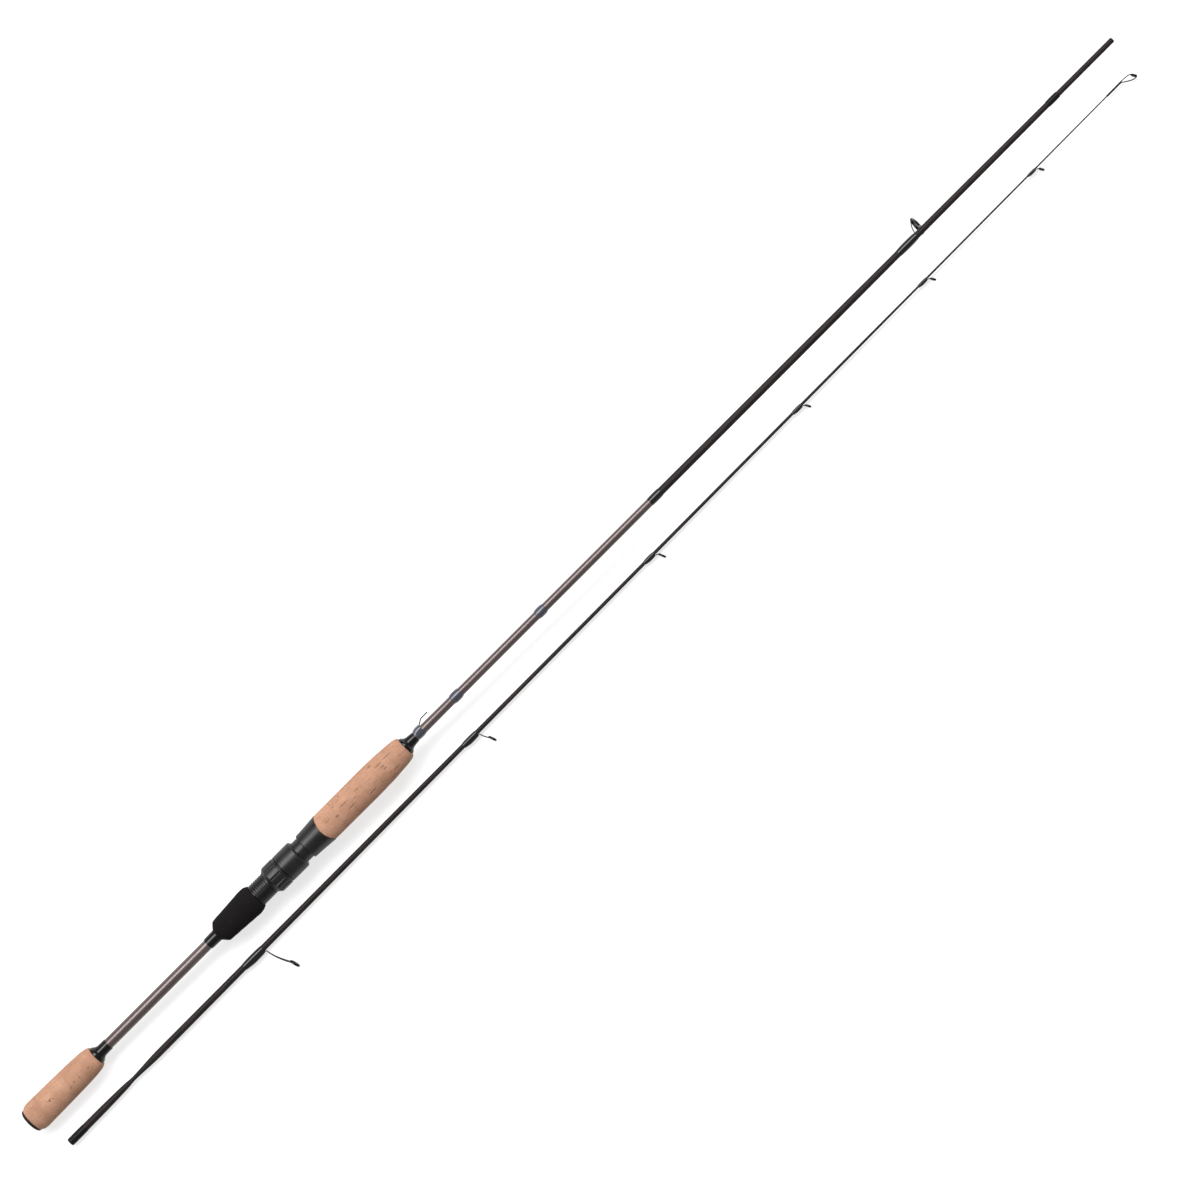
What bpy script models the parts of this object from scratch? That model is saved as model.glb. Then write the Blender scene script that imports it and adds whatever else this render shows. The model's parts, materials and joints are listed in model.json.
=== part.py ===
"""Two-piece spinning rod, taken apart, with its two sections lying side by side.

Each section is modelled in its own frame and hung on an empty: +X runs from the section's rear
end towards its tip and -Z is the side that carries the line guides. The world origin is the
centre of the butt cap's end face, +Z is up, and every length is in metres.
"""

import math

import bmesh
import bpy
from mathutils import Vector

# How the two sections lie
ROLL = math.radians(11.0)            # guides of the butt section, off straight down
TIP_START_X = 0.0090
TIP_START_SPACING = 0.0304           # between the two axes at the rear end of the tip section
TOE_IN = math.radians(0.27)          # the tip section closes on the butt section by this much
GAP = 0.0003                         # between pieces that touch
FINE_GAP = 0.00010                   # between small pieces whose facets are parallel

# Butt section, stations from the butt end
BUTT_END = 1.0816
BUTT_TAPER = (
    (0.0045, 0.00405), (0.1800, 0.00398), (0.3850, 0.00345), (0.4600, 0.00316), (0.6150, 0.00308),
    (0.6400, 0.00290), (0.7800, 0.00276), (0.8700, 0.00248), (1.0170, 0.00215),
)
SPIGOT_START = 1.0277
SPIGOT_RADII = (0.00206, 0.00200)
SPIGOT_CORNER = 0.0007
BLANK_WALL = 0.0009
PLUG_LENGTH = 0.0080

CAP_FACE_RADIUS = 0.0056
CAP_RADIUS = 0.0095
CAP_LENGTH = 0.0029

REAR_CORK = (0.0032, 0.0672)
REAR_CORK_RINGS = 5
REAR_CORK_OUTLINE = (
    (0.0032, 0.0096), (0.0052, 0.0107), (0.0085, 0.0112), (0.0344, 0.0108), (0.0486, 0.0105),
    (0.0571, 0.0101), (0.0628, 0.0095), (0.0656, 0.0088), (0.0672, 0.0080),
)
REAR_CHECK = (0.0675, 0.0795)
FLANGE_RADIUS = 0.0071
THROAT_RADIUS = 0.00455

COLLAR = (0.1797, 0.1886)
COLLAR_RADII = (0.00455, 0.00475)
EVA_OUTLINE = (
    (0.1889, 0.0047), (0.1930, 0.0092), (0.2080, 0.0102), (0.2216, 0.01115), (0.2252, 0.0108),
    (0.2279, 0.0095),
)

SEAT_START = 0.2282
SEAT_END = 0.2967
BARREL_RADIUS = 0.00885
THREAD_ROOT = 0.00835
THREAD_START = 0.2289
THREAD_PITCH = 0.0018
THREAD_TURNS = 7
SEAT_BORE = 0.00515
BED_DEPTH = 0.0066                   # flat bed for the reel foot, from the axis
LAND = (0.2716, 0.2769)              # raised land on the bed, between the two hoods
LAND_RISE = 0.0003
KEYWAY_HALF_WIDTH = 0.0009
KEYWAY_DEPTH = 0.0007
FIXED_HOOD_START = 0.2775
FIXED_HOOD_RADII = (0.01015, 0.0115)
POCKET_END = 0.2940
POCKET_ROOF = 0.0119
POCKET_HALF_ANGLE = math.radians(31.0)
HOOD_BULGE = 0.0130
HOOD_BULGE_ANGLES = (math.radians(34.0), math.radians(55.0))
ARBORS = ((0.2300, 0.2400), (0.2560, 0.2660), (0.2850, 0.2950))
ARBOR_RADII = (0.00415, 0.00487)

NUT = (0.2421, 0.2555)
NUT_RADIUS = 0.0113
NUT_GROOVE = 0.0006
NUT_PANELS = 12
HOOD = (0.2558, 0.2711)
HOOD_RADIUS = 0.01115

FORE_CORK = (0.2970, 0.3776)
FORE_CORK_RINGS = 6
FORE_CORK_OUTLINE = (
    (0.2970, 0.0112), (0.3020, 0.0113), (0.3400, 0.01145), (0.3560, 0.0111), (0.3630, 0.0106),
    (0.3690, 0.0102), (0.3733, 0.0097), (0.3762, 0.0090), (0.3776, 0.0080),
)
FORE_CHECK = (0.3779, 0.3879)

BAND_HEIGHT = 0.00065
THIN_HEIGHT = 0.00028
SOCKET_WRAP_HEIGHT = 0.00012
KEEPER_WRAP = (0.3882, 0.3953)
KEEPER_WRAP_HEIGHT = 0.0004
KEEPER_ANGLE = math.radians(90.0)    # from the guide side
KEEPER_WIRE = 0.00034
KEEPER_RISE = 0.0032
KEEPER_REACH = 0.0068
BAND_WRAPS = ((0.4243, 0.4328), (0.5066, 0.5172))
JOIN_WRAP = (0.6220, 0.6327)
STOP_WRAP = (1.0170, 1.0275)

# Tip section, stations from the rear end of the tip section
TIP_TAPER = (
    (0.0000, 0.00282), (0.0240, 0.00279), (0.0900, 0.00258), (0.2150, 0.00231), (0.3600, 0.00192),
    (0.4300, 0.00165), (0.5000, 0.00143), (0.6400, 0.00119), (0.7820, 0.00099), (0.8530, 0.00078),
    (0.9250, 0.00067), (1.0000, 0.00053), (1.0560, 0.00042),
)
SOCKET_DEPTH = 0.0580
SOCKET_RADII = (0.00216, 0.00206)
TIP_BORE_END = 0.6400
SOCKET_WRAP = (0.0003, 0.0150)

# Each guide: heel station, axis to ring centre, ring centre ahead of the heel, ring outer radius,
# ring bore radius, lean of the ring in degrees, length of the foot under its wrap
STRIPPER = (0.8880, 0.0250, 0.0072, 0.0071, 0.0052, 17.0, 0.0175)
TIP_GUIDES = (
    (0.1950, 0.02375, 0.0079, 0.00400, 0.0027, 14.0, 0.0180),
    (0.4113, 0.0110, 0.0042, 0.00325, 0.0021, 18.0, 0.0130),
    (0.5905, 0.0053, 0.0024, 0.00290, 0.0019, 22.0, 0.0090),
    (0.7395, 0.0041, 0.0020, 0.00235, 0.0015, 28.0, 0.0085),
    (0.8662, 0.0038, 0.0019, 0.00220, 0.0014, 30.0, 0.0083),
    (0.9760, 0.0036, 0.0019, 0.00215, 0.0014, 30.0, 0.0075),
)
TALL_GUIDE = 0.0100                  # higher guides stand on two legs, lower ones on one
LEG_SPREAD = math.radians(72.0)      # where a leg meets its ring, off the ring's nearest point
LEG_RADIUS = 0.00028
LEG_RADIUS_PER_RING = 0.016
FOOT_THICKNESS = 0.00055
FOOT_PLAY = 0.00012                  # between a foot and the wrap's inner wall
TIP_TUBE = (1.0475, 1.0625)
TIP_TUBE_RADII = (0.00052, 0.00074)
TIP_RING_CENTRE = (1.0715, -0.0032)
TIP_RING_RADII = (0.00240, 0.00150)
TIP_RING_LEAN = math.radians(29.0)
TIP_WIRE = 0.00030
TIP_WIRE_SPREAD = math.radians(38.0)

ROUND = 24
BLANK_SIDES = 12

# Material: colour, metallic, roughness
FINISHES = {
    "cork": ((0.62, 0.36, 0.21), 0.0, 0.75),
    "eva": ((0.012, 0.011, 0.011), 0.0, 0.92),
    "seat": ((0.024, 0.022, 0.022), 0.0, 0.45),
    "arbor": ((0.30, 0.27, 0.22), 0.0, 0.80),
    "trim": ((0.010, 0.010, 0.011), 0.0, 0.30),
    "rubber": ((0.014, 0.013, 0.013), 0.0, 0.70),
    "blank": ((0.060, 0.045, 0.043), 0.3, 0.35),
    "gloss_wrap": ((0.008, 0.008, 0.009), 0.0, 0.12),
    "silver_wrap": ((0.16, 0.17, 0.24), 0.4, 0.25),
    "guide": ((0.030, 0.030, 0.032), 0.8, 0.30),
    "ceramic": ((0.012, 0.012, 0.014), 0.0, 0.15),
}


def clear_scene():
    for item in list(bpy.data.objects):
        bpy.data.objects.remove(item)


def finish(kind, name):
    """A Principled material of its own for each sub-part."""
    colour, metallic, roughness = FINISHES[kind]
    material = bpy.data.materials.new(name)
    material.use_nodes = True
    shader = material.node_tree.nodes["Principled BSDF"]
    shader.inputs["Base Color"].default_value = (*colour, 1.0)
    shader.inputs["Metallic"].default_value = metallic
    shader.inputs["Roughness"].default_value = roughness
    return material


def make_empty(name, location, rotation):
    empty = bpy.data.objects.new(name, None)
    empty.location = location
    empty.rotation_euler = rotation
    bpy.context.collection.objects.link(empty)
    return empty


def interpolate(points, x):
    """Value at x on the straight runs between (x, value) points."""
    for (x0, v0), (x1, v1) in zip(points, points[1:]):
        if x <= x1:
            return v0 + (v1 - v0) * max(0.0, x - x0) / (x1 - x0)
    return points[-1][1]


def even_angles(count):
    """Angles round the axis; zero is the guide side, -Z, and a quarter turn on is +Y."""
    return [2.0 * math.pi * i / count for i in range(count)]


def place(x, radius, angle):
    return Vector((x, radius * math.sin(angle), -radius * math.cos(angle)))


def link_mesh(name, bm, kind, parent):
    bmesh.ops.recalc_face_normals(bm, faces=bm.faces)
    mesh = bpy.data.meshes.new(name)
    bm.to_mesh(mesh)
    bm.free()
    mesh.materials.append(finish(kind, name))
    mesh.shade_smooth()
    mesh.set_sharp_from_angle(angle=math.radians(35.0))
    item = bpy.data.objects.new(name, mesh)
    bpy.context.collection.objects.link(item)
    item.parent = parent
    return item


def skin(name, rings, kind, parent, bored):
    """Skin a row of rings. Bored: the last ring joins the first. Otherwise both ends are capped."""
    bm = bmesh.new()
    rows = [[bm.verts.new(point) for point in ring] for ring in rings]
    pairs = list(zip(rows, rows[1:]))
    if bored:
        pairs.append((rows[-1], rows[0]))
    else:
        bm.faces.new(rows[0])
        bm.faces.new(rows[-1])
    count = len(rows[0])
    for low, high in pairs:
        for i in range(count):
            j = (i + 1) % count
            bm.faces.new((low[i], low[j], high[j], high[i]))
    return link_mesh(name, bm, kind, parent)


def turned(name, outline, kind, parent, sides=ROUND, bored=True):
    """A round piece from an outline of (station, radius) points."""
    angles = even_angles(sides)
    rings = [[place(x, radius, angle) for angle in angles] for x, radius in outline]
    return skin(name, rings, kind, parent, bored)


def sleeve(name, outer, inner, angles, kind, parent):
    """A bored piece whose walls are radius functions; outer and inner are (stations, function)."""
    rings = [[place(x, outer[1](x, a), a) for a in angles] for x in outer[0]]
    rings += [[place(x, inner[1](x, a), a) for a in angles] for x in reversed(inner[0])]
    return skin(name, rings, kind, parent, True)


def wire_rings(points, radii, sides):
    """Rings square to a path, kept from twisting."""
    rings = []
    across = Vector((0.0, 1.0, 0.0))
    for i, point in enumerate(points):
        ahead = points[min(i + 1, len(points) - 1)] - points[max(i - 1, 0)]
        ahead.normalize()
        side = (across - ahead * across.dot(ahead)).normalized()
        up = ahead.cross(side)
        angles = even_angles(sides)
        rings.append([point + (side * math.cos(a) + up * math.sin(a)) * radii[i] for a in angles])
    return rings


def wire(name, points, radii, kind, parent, sides=8):
    return skin(name, wire_rings(points, radii, sides), kind, parent, False)


def fuse(parts):
    """Unite overlapping closed solids into the first one."""
    body = parts[0]
    for extra in parts[1:]:
        modifier = body.modifiers.new("union", "BOOLEAN")
        modifier.operation = "UNION"
        modifier.solver = "EXACT"
        modifier.object = extra
    bpy.context.view_layer.update()
    graph = bpy.context.evaluated_depsgraph_get()
    mesh = bpy.data.meshes.new_from_object(body.evaluated_get(graph))
    mesh.name = body.name
    body.modifiers.clear()
    body.data = mesh
    for extra in parts[1:]:
        bpy.data.objects.remove(extra)
    return body


def split_stations(span, count):
    """Ends of equal rings along a span, with the standard gap between neighbours."""
    step = (span[1] - span[0]) / count
    starts = [span[0] + step * i for i in range(count)]
    return [(start + GAP * (i > 0), start + step) for i, start in enumerate(starts)]


def cork_rings(prefix, span, count, outline, bore, parent):
    """Glued cork rings, turned together to one outline."""
    for number, (start, end) in enumerate(split_stations(span, count), 1):
        inner = [x for x, radius in outline if start < x < end]
        stations = [start] + inner + [end]
        profile = [(x, interpolate(outline, x)) for x in stations]
        profile += [(end, bore), (start, bore)]
        turned(f"{prefix}_{number}", profile, "cork", parent)


def winding_check(name, span, parent):
    """Trumpet that closes the gap between a cork end and the blank."""
    start, end = span
    length = end - start
    bore = interpolate(BUTT_TAPER, start) + FINE_GAP
    outline = (
        (start, FLANGE_RADIUS), (start + 0.0012, FLANGE_RADIUS - 0.0003),
        (start + 0.30 * length, THROAT_RADIUS + 0.0006), (start + 0.45 * length, THROAT_RADIUS),
        (end, bore + 0.0003), (end, bore), (start, bore),
    )
    turned(name, outline, "trim", parent)


def spindle(span, base, height):
    """Outline of an epoxy-coated wrap: feathered ends and a full middle."""
    start, end = span
    length = end - start
    lifts = ((0.0, 0.30), (0.15, 0.80), (0.5, 1.0), (0.85, 0.80), (1.0, 0.30))
    return [(start + length * share, base + height * lift) for share, lift in lifts]


def plain_wrap(name, span, taper, kind, parent, height):
    bore = interpolate(taper, span[0]) + FINE_GAP
    outline = spindle(span, bore, height)
    outline += [(span[1], bore), (span[0], bore)]
    turned(name, outline, kind, parent, sides=BLANK_SIDES)


def foot_wrap(name, span, taper, side, lump, height, kind, parent):
    """A wrap over a foot: both walls stand out over the foot, which lies at the angle side."""
    bore = interpolate(taper, span[0]) + FINE_GAP
    reach = math.radians(75.0)

    def bump(angle):
        off = abs((angle - side + math.pi) % (2.0 * math.pi) - math.pi)
        return lump if off <= math.radians(31.0) else lump * max(0.0, 1.0 - off / reach)

    outline = spindle(span, bore, height)

    def outer(x, angle):
        return interpolate(outline, x) + bump(angle)

    def inner(x, angle):
        return bore + bump(angle)

    stations = [x for x, radius in outline]
    sleeve(name, (stations, outer), (list(span), inner), even_angles(BLANK_SIDES), kind, parent)


def tilt(point, centre, lean):
    """Turn a point about a line along Y through the ring's centre, so its far side leans forward."""
    x, y, z = point
    return Vector((
        centre[0] + x * math.cos(lean) - z * math.sin(lean),
        y,
        centre[1] + x * math.sin(lean) + z * math.cos(lean),
    ))


def ring_piece(name, centre, lean, outline, kind, parent):
    """A ring in the guide's plane, from an outline of (along the line, radius)."""
    angles = even_angles(BLANK_SIDES)
    rings = []
    for along, radius in outline:
        flat = [place(along, radius, a) for a in angles]
        rings.append([tilt(point, centre, lean) for point in flat])
    return skin(name, rings, kind, parent, True)


def ring_sizes(outer, bore):
    """Seat radius between the ceramic and its metal holder, and the holder's half width."""
    seat = 0.5 * (bore + outer)
    half = 0.00050 + 0.06 * outer
    return seat, half


def ceramic(name, centre, lean, outer, bore, parent):
    seat, half = ring_sizes(outer, bore)
    edge = bore + 0.35 * (seat - bore)
    outline = (
        (-half * 1.15, edge), (-half * 0.5, bore), (half * 0.5, bore),
        (half * 1.15, edge), (half * 1.15, seat), (-half * 1.15, seat),
    )
    ring_piece(name, centre, lean, outline, "ceramic", parent)


def holder(name, centre, lean, outer, bore, parent):
    seat, half = ring_sizes(outer, bore)
    inside = seat + FINE_GAP
    outline = (
        (-half, inside), (half, inside), (half, outer - 0.0001), (half * 0.6, outer),
        (-half * 0.6, outer), (-half, outer - 0.0001),
    )
    return ring_piece(name, centre, lean, outline, "guide", parent)


def curve_points(root, knee, meet, steps):
    """Points along the quadratic curve from root to meet that leans towards knee."""
    shares = [i / steps for i in range(steps + 1)]
    return [root * (1 - t) ** 2 + knee * (2 * t * (1 - t)) + meet * t * t for t in shares]


def guide_legs(name, foot_end, outer, tall, centre, lean, parent):
    """Two spread legs up to the ring's sides on a tall guide, one short leg on a low one."""
    radius = LEG_RADIUS + LEG_RADIUS_PER_RING * outer
    legs = []
    for side in ((-1.0, 1.0) if tall else (0.0,)):
        spread = LEG_SPREAD * side
        near = Vector((0.0, outer * math.sin(spread), outer * math.cos(spread)))
        meet = tilt(near, centre, lean)
        root = foot_end + Vector((0.0 if tall else -GAP, side * FINE_GAP, 0.0))
        run = meet - root
        knee = root + Vector((0.2 * run.x, 0.65 * run.y, 0.5 * run.z))
        path = curve_points(root, knee, meet, 5 if tall else 2)
        leg = wire(f"{name}_leg_{len(legs)}", path, [radius] * len(path), "guide", parent, 6)
        legs.append(leg)
    return legs


def guide(name, sizes, taper, parent):
    """Single-foot guide: metal frame and foot, ceramic ring, and the wrap over the foot."""
    heel, height, ahead, outer, bore, lean_degrees, foot_length = sizes
    lean = math.radians(lean_degrees)
    centre = (heel + ahead, -height)
    blank = interpolate(taper, heel - foot_length)
    half = FOOT_THICKNESS / 2.0
    foot_middle = blank + FINE_GAP + half + FOOT_PLAY
    stations = (heel - foot_length, heel - 0.4 * foot_length, heel + GAP)
    path = [Vector((x, 0.0, -foot_middle)) for x in stations]
    foot = wire(name + "_foot", path, (half * 0.5, half, half), "guide", parent, 6)
    frame = holder(name + "_frame", centre, lean, outer, bore, parent)
    foot_end = Vector((heel, 0.0, -foot_middle))
    tall = height > TALL_GUIDE
    fuse([frame, foot] + guide_legs(name, foot_end, outer, tall, centre, lean, parent))
    ceramic(name + "_ring", centre, lean, outer, bore, parent)
    span = (heel - foot_length - 0.0012, heel - 0.0009)
    lump = FOOT_THICKNESS + 2.0 * FOOT_PLAY + FINE_GAP
    foot_wrap(name + "_wrap", span, taper, 0.0, lump, 0.00026 + 0.08 * blank, "gloss_wrap", parent)


def tip_top(parent):
    """Tip-top: tube on the blank's end, ring, one wire above it and two wires below."""
    rear, front = TIP_TUBE
    inner, outer = TIP_TUBE_RADII
    outline = ((front - 0.0050, inner), (rear, inner), (rear, outer), (front, outer))
    tube = turned("tip_top_tube", outline, "guide", parent, BLANK_SIDES, bored=False)
    ring, bore = TIP_RING_RADII
    frame = holder("tip_top_frame", TIP_RING_CENTRE, TIP_RING_LEAN, ring, bore, parent)
    root = Vector((front - 0.0010, 0.0, 0.00025))
    meet = tilt(Vector((0.0, 0.0, ring)), TIP_RING_CENTRE, TIP_RING_LEAN)
    knee = Vector((meet.x - 0.0007, 0.0, root.z))
    wires = [curve_points(root, knee, meet, 5)]
    for side in (-1.0, 1.0):
        spread = side * TIP_WIRE_SPREAD
        across, down = math.sin(spread), -math.cos(spread)
        edge = ring + 0.0001
        meet = tilt(Vector((-0.0002, edge * across, edge * down)), TIP_RING_CENTRE, TIP_RING_LEAN)
        edge = ring + 0.0006
        knee = tilt(Vector((-0.0028, edge * across, edge * down)), TIP_RING_CENTRE, TIP_RING_LEAN)
        root = Vector((front - 0.0010, side * 0.0002, -0.00025))
        wires.append(curve_points(root, knee, meet, 5))
    pieces = [frame, tube]
    for number, path in enumerate(wires):
        radii = [TIP_WIRE] * len(path)
        pieces.append(wire(f"tip_top_wire_{number}", path, radii, "guide", parent, 6))
    fuse(pieces)
    ceramic("tip_top_ring", TIP_RING_CENTRE, TIP_RING_LEAN, ring, bore, parent)


def hook_keeper(parent):
    """Open wire hook: a foot under its wrap, a short rise and an arm along the blank."""
    blank = interpolate(BUTT_TAPER, KEEPER_WRAP[0])
    low = blank + FINE_GAP + KEEPER_WIRE + FOOT_PLAY
    rear, front = KEEPER_WRAP
    heel = front + 0.0004
    route = (
        (rear + 0.0012, low), (heel - 0.0006, low), (heel + 0.0005, low + 0.0005),
        (heel + 0.0030, blank + KEEPER_RISE - 0.0004), (heel + 0.0037, blank + KEEPER_RISE),
        (heel + 0.0037 + 0.6 * KEEPER_REACH, blank + KEEPER_RISE),
        (heel + 0.0037 + KEEPER_REACH, blank + KEEPER_RISE + 0.0001),
    )
    path = [place(x, radius, KEEPER_ANGLE) for x, radius in route]
    wire("hook_keeper", path, [KEEPER_WIRE] * len(path), "guide", parent, 8)
    lump = 2.0 * (KEEPER_WIRE + FOOT_PLAY) + FINE_GAP / 2.0
    height = KEEPER_WRAP_HEIGHT
    foot_wrap("keeper_wrap", KEEPER_WRAP, BUTT_TAPER, KEEPER_ANGLE, lump, height, "silver_wrap", parent)


def butt_blank(parent):
    """Tapered hollow tube whose slimmer end is the male spigot of the ferrule."""
    outline = list(BUTT_TAPER)
    outline += [
        (SPIGOT_START, SPIGOT_RADII[0]), (BUTT_END - SPIGOT_CORNER, SPIGOT_RADII[1]),
        (BUTT_END, SPIGOT_RADII[1] - SPIGOT_CORNER),
    ]
    bore = [(x, radius - BLANK_WALL) for x, radius in reversed(outline[:-2])]
    outline += [(BUTT_END, SPIGOT_RADII[1] - BLANK_WALL)] + bore
    turned("butt_blank", outline, "blank", parent, BLANK_SIDES)
    plug = SPIGOT_RADII[1] - BLANK_WALL - FINE_GAP
    start = BUTT_END - PLUG_LENGTH
    outline = ((start, plug), (BUTT_END - 0.0003, plug), (BUTT_END, plug * 0.7))
    turned("spigot_plug", outline, "rubber", parent, BLANK_SIDES, bored=False)


def tip_blank(parent):
    """Tapered tube with the female socket at its rear, solid towards the tip."""
    mouth, deep = SOCKET_RADII
    end = interpolate(TIP_TAPER, TIP_BORE_END) - BLANK_WALL
    outline = [(TIP_BORE_END, end), (SOCKET_DEPTH + 0.0040, 0.00150), (SOCKET_DEPTH, deep)]
    outline += [(0.0, mouth)] + list(TIP_TAPER)
    turned("tip_blank", outline, "blank", parent, BLANK_SIDES, bored=False)
    plain_wrap("socket_wrap", SOCKET_WRAP, TIP_TAPER, "gloss_wrap", parent, SOCKET_WRAP_HEIGHT)


def handle(parent):
    """Butt cap, rear cork, its check, the collar, the EVA grip, the fore cork and its check."""
    outline = (
        (0.0, CAP_FACE_RADIUS), (0.0006, 0.0080), (0.0014, 0.0092), (CAP_LENGTH, CAP_RADIUS),
    )
    turned("butt_cap", outline, "rubber", parent, bored=False)
    bore = BUTT_TAPER[0][1] + GAP
    cork_rings("rear_cork_ring", REAR_CORK, REAR_CORK_RINGS, REAR_CORK_OUTLINE, bore, parent)
    winding_check("rear_winding_check", REAR_CHECK, parent)
    start, end = COLLAR
    bore = interpolate(BUTT_TAPER, start) + FINE_GAP
    outline = (
        (start, COLLAR_RADII[0] - 0.0002), (start + 0.0010, COLLAR_RADII[0]),
        (end - 0.0005, COLLAR_RADII[1]), (end, COLLAR_RADII[1]), (end, bore), (start, bore),
    )
    turned("rear_grip_collar", outline, "trim", parent, BLANK_SIDES)
    bore = interpolate(BUTT_TAPER, EVA_OUTLINE[0][0]) + GAP
    outline = list(EVA_OUTLINE) + [(EVA_OUTLINE[-1][0], bore), (EVA_OUTLINE[0][0], bore)]
    turned("eva_rear_grip", outline, "eva", parent)
    bore = interpolate(BUTT_TAPER, FORE_CORK[0]) + GAP
    cork_rings("fore_cork_ring", FORE_CORK, FORE_CORK_RINGS, FORE_CORK_OUTLINE, bore, parent)
    winding_check("fore_winding_check", FORE_CHECK, parent)


def fold(angle):
    """Unsigned angle from the guide side."""
    return abs((angle + math.pi) % (2.0 * math.pi) - math.pi)


def in_pocket(angle):
    return fold(angle) <= POCKET_HALF_ANGLE + 1e-6


def mirrored(half):
    """Angles on both sides of the guide side, which both halves share."""
    return half + [2.0 * math.pi - a for a in reversed(half[1:])]


def seat_angles(key_half_width):
    """Angles of the seat's grids: even steps and the edges of the bed, pocket and keyway."""
    key = key_half_width / BARREL_RADIUS
    edge = math.radians(0.8)
    half = [0.0, math.radians(15.0), POCKET_HALF_ANGLE, POCKET_HALF_ANGLE + edge]
    half += [math.radians(a) for a in (36.0, 42.5, 55.0, 70.0, 86.0, 102.0, 118.0, 134.0, 150.0, 163.0)]
    return mirrored(half + [math.pi - key - edge, math.pi - key])


def bulge(angle, radius, height):
    """Outer wall of a hood: round, but standing out over the reel foot's pocket."""
    full, end = HOOD_BULGE_ANGLES
    share = (end - fold(angle)) / (end - full)
    return radius + (height - radius) * min(1.0, max(0.0, share))


def barrel(radius, angle, bed=BED_DEPTH):
    """Threaded barrel: flat bed on the guide side and a keyway opposite."""
    off = fold(angle)
    flat = bed / max(0.2, math.cos(off))
    in_key = off >= math.pi - KEYWAY_HALF_WIDTH / BARREL_RADIUS - 1e-6
    return min(radius, flat, BARREL_RADIUS - KEYWAY_DEPTH if in_key else radius)


def barrel_outline():
    """Stations, radii and bed depths: the thread's ridges, a plain stretch and the raised land."""
    outline = [(SEAT_START, THREAD_ROOT, BED_DEPTH)]
    ridge = ((0.1, THREAD_ROOT), (0.35, BARREL_RADIUS), (0.6, BARREL_RADIUS), (0.85, THREAD_ROOT))
    for turn in range(THREAD_TURNS):
        start = THREAD_START + THREAD_PITCH * turn
        outline += [(start + THREAD_PITCH * share, radius, BED_DEPTH) for share, radius in ridge]
    plain = THREAD_START + THREAD_PITCH * THREAD_TURNS
    start, end = LAND
    beds = (
        (plain, 0.0), (start - LAND_RISE, 0.0), (start, LAND_RISE),
        (end, LAND_RISE), (end + LAND_RISE, 0.0), (FIXED_HOOD_START, 0.0),
    )
    return outline + [(x, BARREL_RADIUS, BED_DEPTH + rise) for x, rise in beds]


def pocket_ring(angles, share, deep, roof):
    """One ring of the fixed hood's rear face, which dips into the pocket on the guide side."""
    ring = []
    for angle in angles:
        low = barrel(BARREL_RADIUS, angle)
        if in_pocket(angle):
            x = POCKET_END if deep else FIXED_HOOD_START
            radius = POCKET_ROOF if roof else low
        else:
            x = FIXED_HOOD_START
            radius = low + share * (FIXED_HOOD_RADII[0] - low)
        ring.append(place(x, radius, angle))
    return ring


def reel_seat_body(parent):
    """Threaded barrel with its flat bed and keyway, in one piece with the fixed hood."""
    angles = seat_angles(KEYWAY_HALF_WIDTH)
    rows = barrel_outline()
    rings = [[place(x, barrel(radius, a, bed), a) for a in angles] for x, radius, bed in rows]
    rings.append(pocket_ring(angles, 0.15, True, False))
    rings.append(pocket_ring(angles, 0.30, True, True))
    rings.append(pocket_ring(angles, 0.45, False, True))
    rear, front = FIXED_HOOD_RADII
    mouth = FIXED_HOOD_START
    hood = (
        (mouth, rear - 0.0006, HOOD_BULGE - 0.0004), (mouth + 0.0006, rear, HOOD_BULGE),
        (POCKET_END + 0.0006, front - 0.0001, HOOD_BULGE), (SEAT_END, front, front + 0.0002),
    )
    rings += [[place(x, bulge(a, radius, height), a) for a in angles] for x, radius, height in hood]
    rings += [[place(x, SEAT_BORE, a) for a in angles] for x in (SEAT_END, SEAT_START)]
    skin("reel_seat_body", rings, "seat", parent, True)
    for number, (start, end) in enumerate(ARBORS, 1):
        inner, outer = ARBOR_RADII
        outline = ((start, outer), (end, outer), (end, inner), (start, inner))
        turned(f"seat_arbor_{number}", outline, "arbor", parent)


def sliding_hood(parent):
    """Sleeve on the barrel, keyed to it, with a through pocket for the reel foot."""
    rib = KEYWAY_HALF_WIDTH - 0.00035
    angles = seat_angles(rib)
    start, end = HOOD
    outline = (
        (start, HOOD_RADIUS - 0.0003), (start + 0.0004, HOOD_RADIUS), (end - 0.0012, HOOD_RADIUS),
        (end - 0.0004, HOOD_RADIUS - 0.0004), (end, HOOD_RADIUS - 0.0011),
    )

    def outer(x, angle):
        radius = interpolate(outline, x)
        return bulge(angle, radius, HOOD_BULGE + radius - HOOD_RADIUS)

    def inner(x, angle):
        if in_pocket(angle):
            return POCKET_ROOF
        keyed = fold(angle) >= math.pi - rib / BARREL_RADIUS - 1e-6
        return BARREL_RADIUS + GAP - (KEYWAY_DEPTH - GAP if keyed else 0.0)

    stations = [x for x, radius in outline]
    sleeve("sliding_hood", (stations, outer), ([start, end], inner), angles, "seat", parent)


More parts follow.
